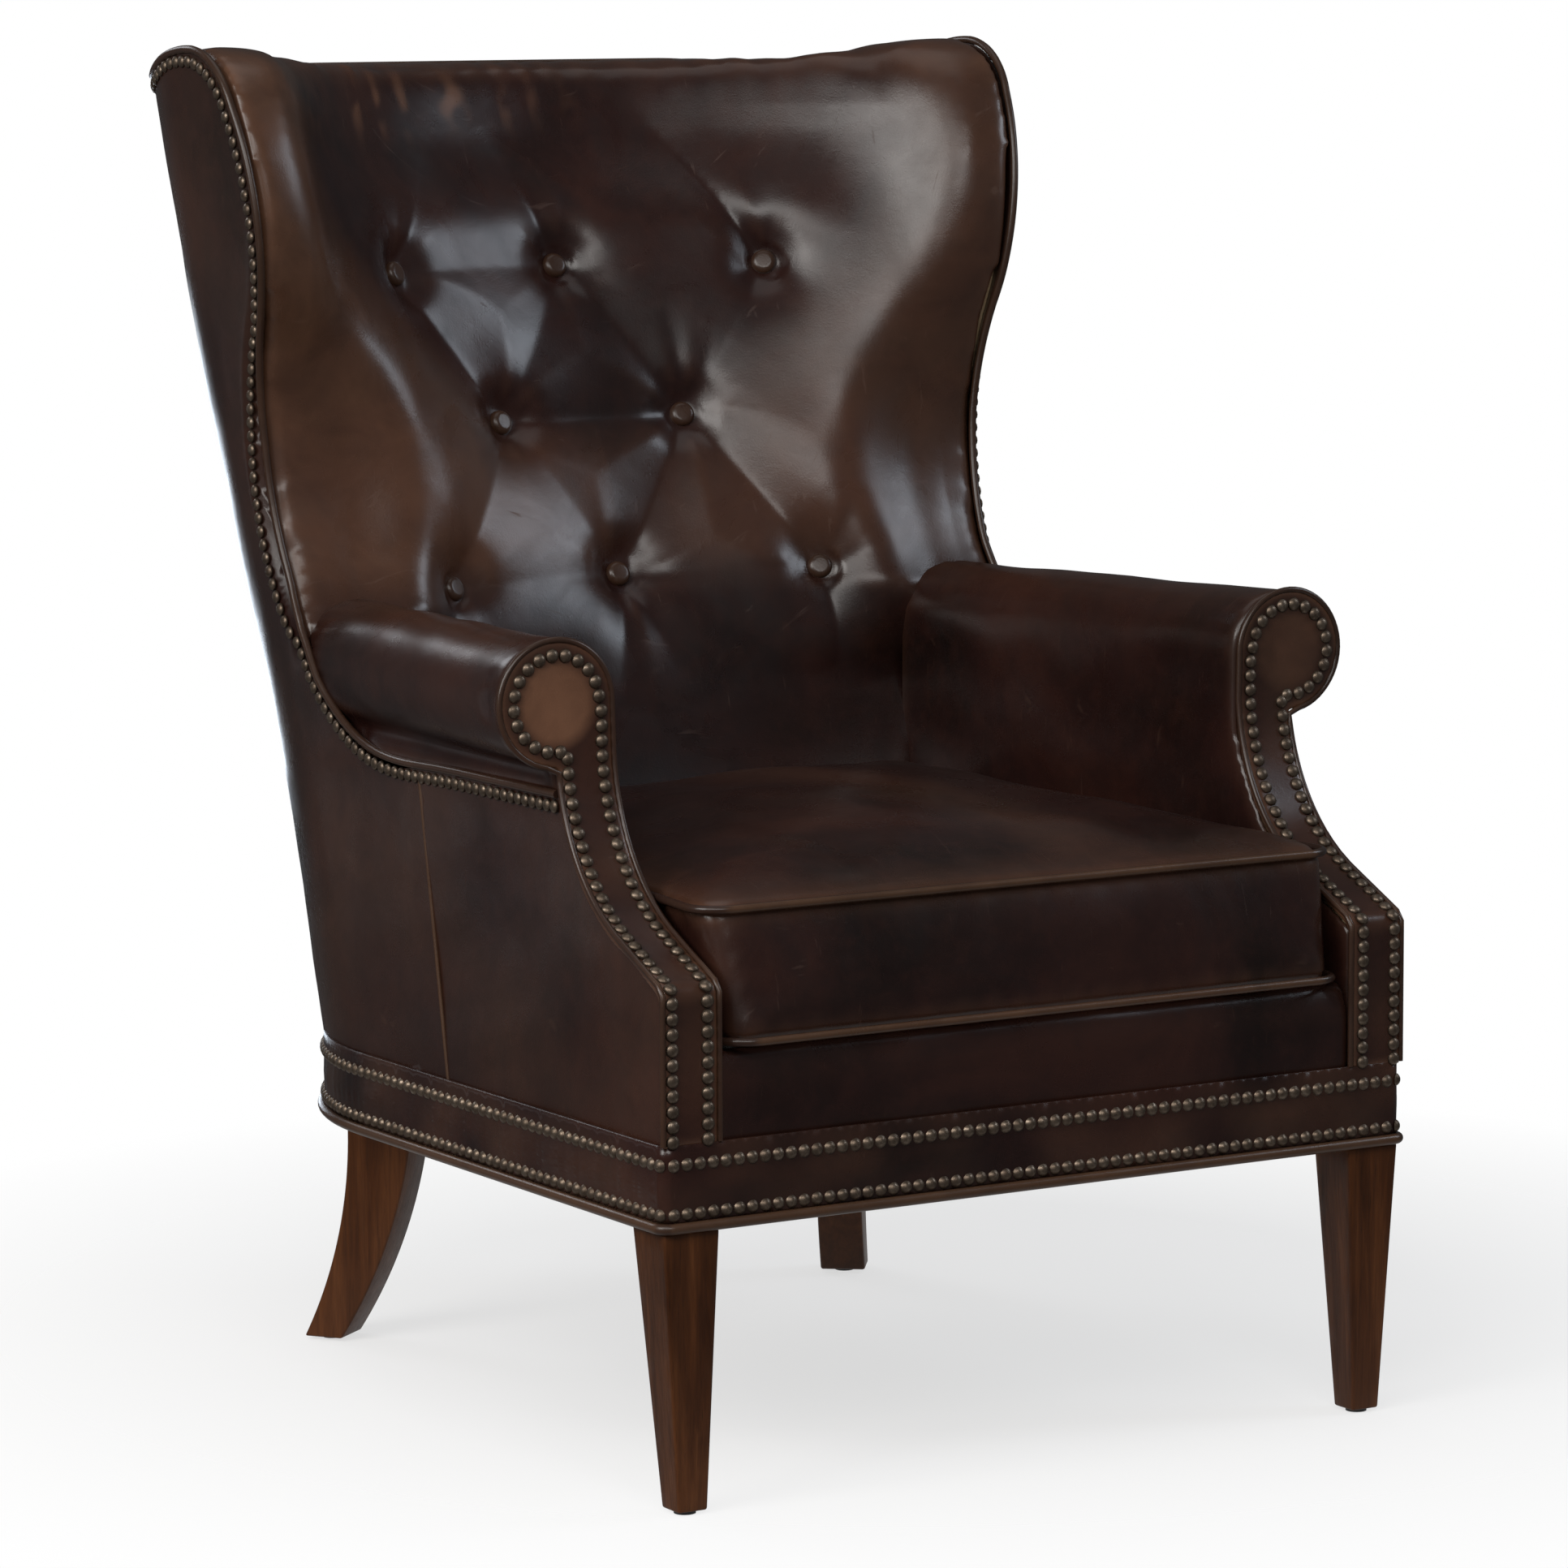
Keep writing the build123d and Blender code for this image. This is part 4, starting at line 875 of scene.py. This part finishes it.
def face_nails(side):
    """One unbroken row: up the outer edge of the facing, round the scroll and down the inner edge."""
    def spot(x, z):
        return Vector((x, FRONT + arm_front(z), z))
    inner, outer, ring = 0.3215, 0.354, 0.0395
    heights = [0.306 + 0.004 * i for i in range(82)]
    path = [spot(outer, z) for z in heights if z < 0.598]
    for i in range(41):
        angle = mix(-1.80, math.pi, i / 40)
        path.append(spot(SCROLL_X + ring * math.cos(angle), SCROLL_Z + ring * math.sin(angle)))
    path += [spot(inner, z) for z in reversed(heights) if z < 0.632]
    bm = bmesh.new()
    for place in even_path(path if side == "right" else mirrored(path), FACE_PITCH):
        slope = (arm_front(place.z + 0.002) - arm_front(place.z - 0.002)) / 0.004
        dome(bm, place, (0, -1, slope), *FACE_NAIL)
    bmesh.ops.remove_doubles(bm, verts=bm.verts, dist=0.00002)
    bmesh.ops.recalc_face_normals(bm, faces=bm.faces)
    name = f"{side}_face_nails"
    return piece(name, to_mesh(bm, name), BRASS, replaces=[f"{side}_facing_nails"])


def side_seam(side):
    sign = 1 if side == "right" else -1
    path = []
    for i in range(30):
        z = mix(0.302, 0.556, i / 29)
        setback = mix(0.364, 0.411, (z - 0.300) / 0.262)
        path.append(Vector((sign * (PANEL_HALF + 0.0002), FRONT + setback, z)))
    mesh = tube_mesh(f"{side}_side_seam", path, 0.0019, sides=6)
    rub_and_highlight(mesh, 0.001, 0.9)
    return piece(f"{side}_side_seam", mesh, PIPING)


# Base band with gathers between its nail rows

def base_skin():
    mesh = to_mesh(refined(merged_copy("base_band"), lambda middle: 0.008), "base_leather")
    co, normal = places(mesh), normals_of(mesh)
    way = np.where(np.abs(co[:, 0]) > 0.355, co[:, 1], co[:, 0])
    middle_z, reach, nail_pitch, ledge = 0.2665, 0.018, 0.0121, 0.003
    level = np.clip(1 - np.abs(co[:, 2] - middle_z) / reach, 0, 1)
    gather = np.sin(way * 2 * math.pi / nail_pitch) * 0.0004
    gather += 0.0008 * ripple(co * np.array([1, 1, 0.3]), 0.05, 21)
    outward = (np.hypot(normal[:, 0], normal[:, 1]) > 0.5).astype(float)
    co = co + normal * ((0.0007 + gather) * level * outward)[:, None]
    co[:, 2] += ledge * (co[:, 2] > co[:, 2].max() - 0.0006)
    set_places(mesh, co)
    set_wear_and_highlight(mesh, 0.10 + 0.12 * ripple(co, 0.09, 8))
    return piece("base_leather", mesh, CHOCOLATE, replaces=["base_band"])


def front_border():
    bm = smoothed(remeshed(merged_copy("front_border"), 0.004), 3)
    mesh = to_mesh(bm, "seat_front_border")
    co, normal = places(mesh), normals_of(mesh)
    co = co + normal * (0.0009 * ripple(co, 0.12, 15))[:, None]
    crown = np.clip((co[:, 2] - co[:, 2].max() + 0.034) / 0.034, 0, 1)
    crown *= np.clip((0.03 - (co[:, 1] - FRONT)) / 0.02, 0, 1)
    co[:, 1] += 0.011 * crown ** 2
    set_places(mesh, co)
    rub_and_highlight(mesh, 0.0040)
    return piece("seat_front_border", mesh, CHOCOLATE, replaces=["front_border"])


def deck():
    bm = smoothed(remeshed(merged_copy("deck_cover", "deck_pad"), 0.008), 2)
    mesh = to_mesh(bm, "deck")
    rub_and_highlight(mesh, 0.001)
    return piece("deck", mesh, BLACK_CLOTH, replaces=["deck_cover", "deck_pad"])


# Loose cushion

def settle(mesh, pressure, frames, cap, pinned):
    """Cloth swelling of a stuffed cover, with the welted edges held, and no point moved past the cap."""
    before = places(mesh)
    holder = bpy.data.objects.new("stuffing", mesh)
    collection.objects.link(holder)
    group = holder.vertex_groups.new(name="held")
    group.add([int(i) for i in np.nonzero(pinned)[0]], 1.0, "REPLACE")
    cloth = holder.modifiers.new("cloth", "CLOTH")
    cloth.settings.quality = 5
    cloth.settings.mass = 0.35
    cloth.settings.tension_stiffness = 22
    cloth.settings.compression_stiffness = 22
    cloth.settings.shear_stiffness = 12
    cloth.settings.bending_stiffness = 2.5
    cloth.settings.use_pressure = True
    cloth.settings.uniform_pressure_force = pressure
    cloth.settings.vertex_group_mass = "held"
    cloth.settings.effector_weights.gravity = 0
    cloth.collision_settings.use_collision = False
    cloth.point_cache.frame_start, cloth.point_cache.frame_end = 1, frames
    scene = bpy.context.scene
    for number in range(1, frames + 1):
        scene.frame_set(number)
    depsgraph = bpy.context.evaluated_depsgraph_get()
    swollen = bpy.data.meshes.new_from_object(holder.evaluated_get(depsgraph))
    after = places(swollen)
    bpy.data.objects.remove(holder)
    scene.frame_set(1)
    move = after - before
    length = np.maximum(np.linalg.norm(move, axis=1), 1e-9)
    return before + move * np.minimum(1, cap / length)[:, None]


CROWN = 0.019     # how far the cushion's middle rises above its edges


def seat_cushion():
    core = merged_copy("cushion_core")
    bm = smoothed(remeshed(core, 0.006), 2)
    mesh = to_mesh(bm, "seat_cushion")
    floor_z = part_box("cushion_cover")[0].z
    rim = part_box("cushion_top_welt")
    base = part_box("cushion_bottom_welt")
    top_z, bottom_z = (rim[0].z + rim[1].z) / 2, (base[0].z + base[1].z) / 2
    co, normal = places(mesh), normals_of(mesh)
    held = (np.abs(co[:, 2] - top_z) < 0.005) & (np.abs(normal[:, 2]) < 0.92)
    held |= co[:, 2] < bottom_z + 0.004
    co = settle(mesh, 4.0, 20, 0.012, held)
    set_places(mesh, co)
    normal = normals_of(mesh)
    co = co + normal * 0.0022
    setback = co[:, 1] - FRONT
    upper = np.clip((co[:, 2] - top_z - 0.004) / 0.012, 0, 1) * np.clip(normal[:, 2], 0, 1)
    side = 1 - np.clip(np.abs(normal[:, 2]) * 1.5, 0, 1)
    push = 0.0026 * ripple(co, 0.22, 31) * upper + 0.0012 * ripple(co, 0.1, 32) * upper
    edge = np.clip(1 - (co[:, 2] - bottom_z) / 0.02, 0, 1)
    edge += np.clip(1 - np.abs(top_z - co[:, 2]) / 0.02, 0, 1)
    gather = np.sin(co[:, 0] * 2 * math.pi / 0.031 + 1.7 * np.sin(co[:, 0] * 23)) * 0.0009
    push += side * (0.0012 * ripple(co, 0.09, 33) + gather * edge)
    co = co + normal * push[:, None]
    swell = np.clip(1 - (co[:, 0] / 0.29) ** 2, 0, 1)
    swell *= np.clip(1 - ((setback - 0.36) / 0.31) ** 2, 0, 1)
    co[:, 2] += CROWN * swell ** 0.8 * np.clip((co[:, 2] - top_z - 0.002) / 0.010, 0, 1)
    co[:, 2] = np.maximum(co[:, 2], floor_z + 0.0002)
    set_places(mesh, co)
    streak = np.exp(-(((co[:, 0] - 0.02 + 0.25 * (setback - 0.3)) / 0.05) ** 2)) * upper * 0.16
    front = np.exp(-(((co[:, 2] - top_z) / 0.012) ** 2)) * 0.22
    rub_and_highlight(mesh, 0.0040, streak + front)
    covers = ["cushion_cover", "cushion_core"]
    return piece("seat_cushion", mesh, CHOCOLATE, body="cushion", replaces=covers)


def cushion_welt(name, node):
    bm = merged_copy(node)
    mesh = to_mesh(bm, name)
    co = places(mesh)
    rub_and_highlight(mesh, 0.0030, 0.06 + 0.12 * ripple(co, 0.08, 41))
    return piece(name, mesh, PIPING, body="cushion", replaces=[node])


# Legs with softened edges

def leg(side, row):
    node = f"{side}_{row}_leg"
    bm = merged_copy(node)
    bmesh.ops.dissolve_limit(bm, angle_limit=math.radians(1), verts=bm.verts, edges=bm.edges)
    sharp = [e for e in bm.edges if len(e.link_faces) == 2 and e.calc_face_angle(0) > math.radians(40)]
    bmesh.ops.bevel(
        bm, geom=sharp, offset=0.0022, segments=3, profile=0.5, affect="EDGES", material=-1,
        clamp_overlap=True)
    mesh = to_mesh(refined(bm, lambda middle: 0.02), f"{side}_{row}_wood")
    rub_and_highlight(mesh, 0.0012)
    made = piece(f"{side}_{row}_wood", mesh, WALNUT, replaces=[node])
    mesh.set_sharp_from_angle(angle=math.radians(35))
    return made


inside_back()
for side in ("left", "right"):
    arm(side)
    arm_face(side)
    face_edge(side)
    face_nails(side)
    side_seam(side)
    outside_panel(f"{side}_outside_arm_panel", f"{side}_outside_arm")
    leg(side, "front")
    leg(side, "rear")
outside_panel("outside_back_panel", "outside_back")
edge_welts()
border_nails()
base_skin()
front_border()
deck()
seat_cushion()
cushion_welt("cushion_top_piping", "cushion_top_welt")
cushion_welt("cushion_bottom_piping", "cushion_bottom_welt")

for name in ("tufting_buttons", "base_welt"):
    made = to_mesh(merged_copy(name), f"{name}_leather")
    rub_and_highlight(made, 0.0006, 0.22)
    piece(f"{name}_leather", made, PIPING, replaces=[name])
    made.set_sharp_from_angle(angle=math.radians(50))


# Camera, light and floor

def studio():
    scene = bpy.context.scene
    scene.view_settings.view_transform = "Standard"
    camera = bpy.data.cameras.new("camera")
    camera.lens, camera.sensor_width = 143.79, 36.0
    camera.clip_start, camera.clip_end = 0.1, 60
    holder = bpy.data.objects.new("camera", camera)
    collection.objects.link(holder)
    azimuth, elevation, roll = math.radians(-31.372), math.radians(7.501), math.radians(-0.255)
    level = math.cos(elevation)
    back = Vector((math.sin(azimuth) * level, -math.cos(azimuth) * level, math.sin(elevation)))
    right = Vector((0, 0, 1)).cross(back).normalized()
    up = back.cross(right)
    right, up = right * math.cos(roll) + up * math.sin(roll), up * math.cos(roll) - right * math.sin(roll)
    turn = Matrix((right, up, back)).transposed()
    holder.matrix_world = Matrix.Translation((-2.810855, -4.200661 + FRONT, 1.232055)) @ turn.to_4x4()
    scene.camera = holder

    world = bpy.data.worlds.new("studio")
    scene.world = world
    world.use_nodes = True
    tree = world.node_tree
    path = tree.nodes.new("ShaderNodeLightPath")

    def background(strength, colour=(1, 1, 1, 1)):
        node = tree.nodes.new("ShaderNodeBackground")
        node.inputs["Color"].default_value = colour
        node.inputs["Strength"].default_value = strength
        return node.outputs["Background"]

    def choose(share, first, second):
        node = tree.nodes.new("ShaderNodeMixShader")
        tree.links.new(share, node.inputs["Fac"])
        tree.links.new(first, node.inputs[1])
        tree.links.new(second, node.inputs[2])
        return node.outputs["Shader"]

    around = choose(path.outputs["Is Glossy Ray"], background(0.24), background(0.07, (0.94, 0.97, 1.0, 1)))
    around = choose(path.outputs["Is Transmission Ray"], around, background(1.0))
    around = choose(path.outputs["Is Camera Ray"], around, background(1.0))
    tree.nodes.remove(tree.nodes["Background"])
    tree.links.new(around, tree.nodes["World Output"].inputs["Surface"])

    def softbox(name, place, aim, size, power, colour=(1, 1, 1)):
        light = bpy.data.lights.new(name, "AREA")
        light.shape, light.size, light.size_y, light.energy = "RECTANGLE", size[0], size[1], power
        light.color = colour
        box = bpy.data.objects.new(name, light)
        collection.objects.link(box)
        box.location = place
        box.rotation_euler = (Vector(aim) - Vector(place)).to_track_quat("-Z", "Y").to_euler()
        box.visible_camera = False

    softbox("left_box", (-3.1, -0.9, 2.2), (0, 0.1, 0.75), (1.6, 1.7), 60, (1.0, 0.98, 0.95))
    softbox("corner_box", (-2.1, -2.0, 2.55), (0, 0.1, 0.8), (1.3, 1.2), 18, (1.0, 0.98, 0.95))
    softbox("front_box", (-1.1, -3.0, 2.5), (0, 0.1, 0.8), (1.6, 1.1), 27, (1.0, 0.98, 0.96))
    softbox("right_box", (2.45, -1.2, 2.1), (0, 0.3, 0.8), (0.9, 1.0), 15, (0.80, 0.89, 1.0))
    softbox("side_rear_box", (-1.6, 1.9, 0.42), (-0.4, 0.0, 0.55), (0.3, 0.7), 0.28, (0.92, 0.95, 1.0))
    softbox("top_box", (0.1, 0.3, 3.3), (0, 0, 0.5), (2.0, 2.0), 7)
    softbox("rear_box", (0.5, 3.2, 0.35), (-0.3, 0.3, 0.55), (0.9, 0.6), 9, (0.80, 0.89, 1.0))
    softbox("rear_high_box", (-0.9, 2.8, 2.3), (-0.3, 0.2, 0.7), (1.0, 0.8), 10, (0.92, 0.95, 1.0))

    bm = bmesh.new()
    bmesh.ops.create_grid(bm, x_segments=2, y_segments=2, size=3.2)
    mesh = to_mesh(bm, "floor")
    floor = bpy.data.objects.new("floor", mesh)
    collection.objects.link(floor)
    s = Shade("pale_floor")
    output = s.tree.nodes["Material Output"]
    s.shader.inputs["Base Color"].default_value = (0.92, 0.92, 0.92, 1)
    s.shader.inputs["Roughness"].default_value = 0.9
    s.shader.inputs["Specular IOR Level"].default_value = 0.0
    ray = s.put("ShaderNodeLightPath").outputs
    glow = s.put("ShaderNodeEmission", {"Strength": 1.0}).outputs["Emission"]
    clear = s.put("ShaderNodeBsdfTransparent").outputs["BSDF"]
    shifted = s.put("ShaderNodeMapping", {"Location": (-0.22, -0.12, 0.0)}, Vector=s.coords).outputs["Vector"]
    radius = s.put("ShaderNodeVectorMath", {"operation": "LENGTH"}, Vector=shifted).outputs["Value"]
    share = s.maths("MULTIPLY", s.maths("MAXIMUM", ray["Is Camera Ray"], ray["Is Transmission Ray"]), 0.65)

    def both(fac, first, second):
        node = s.put("ShaderNodeMixShader", Fac=fac)
        s.tree.links.new(first, node.inputs[1])
        s.tree.links.new(second, node.inputs[2])
        return node.outputs["Shader"]

    dim = s.put("ShaderNodeEmission", {"Strength": 0.45}).outputs["Emission"]
    ground = both(share, s.shader.outputs["BSDF"], glow)
    ground = both(ray["Is Glossy Ray"], ground, dim)
    ground = both(s.span(radius, 0.5, 1.15, 0.0, 1.0), ground, clear)
    s.tree.links.new(ground, output.inputs["Surface"])
    mesh.materials.append(s.material)


studio()
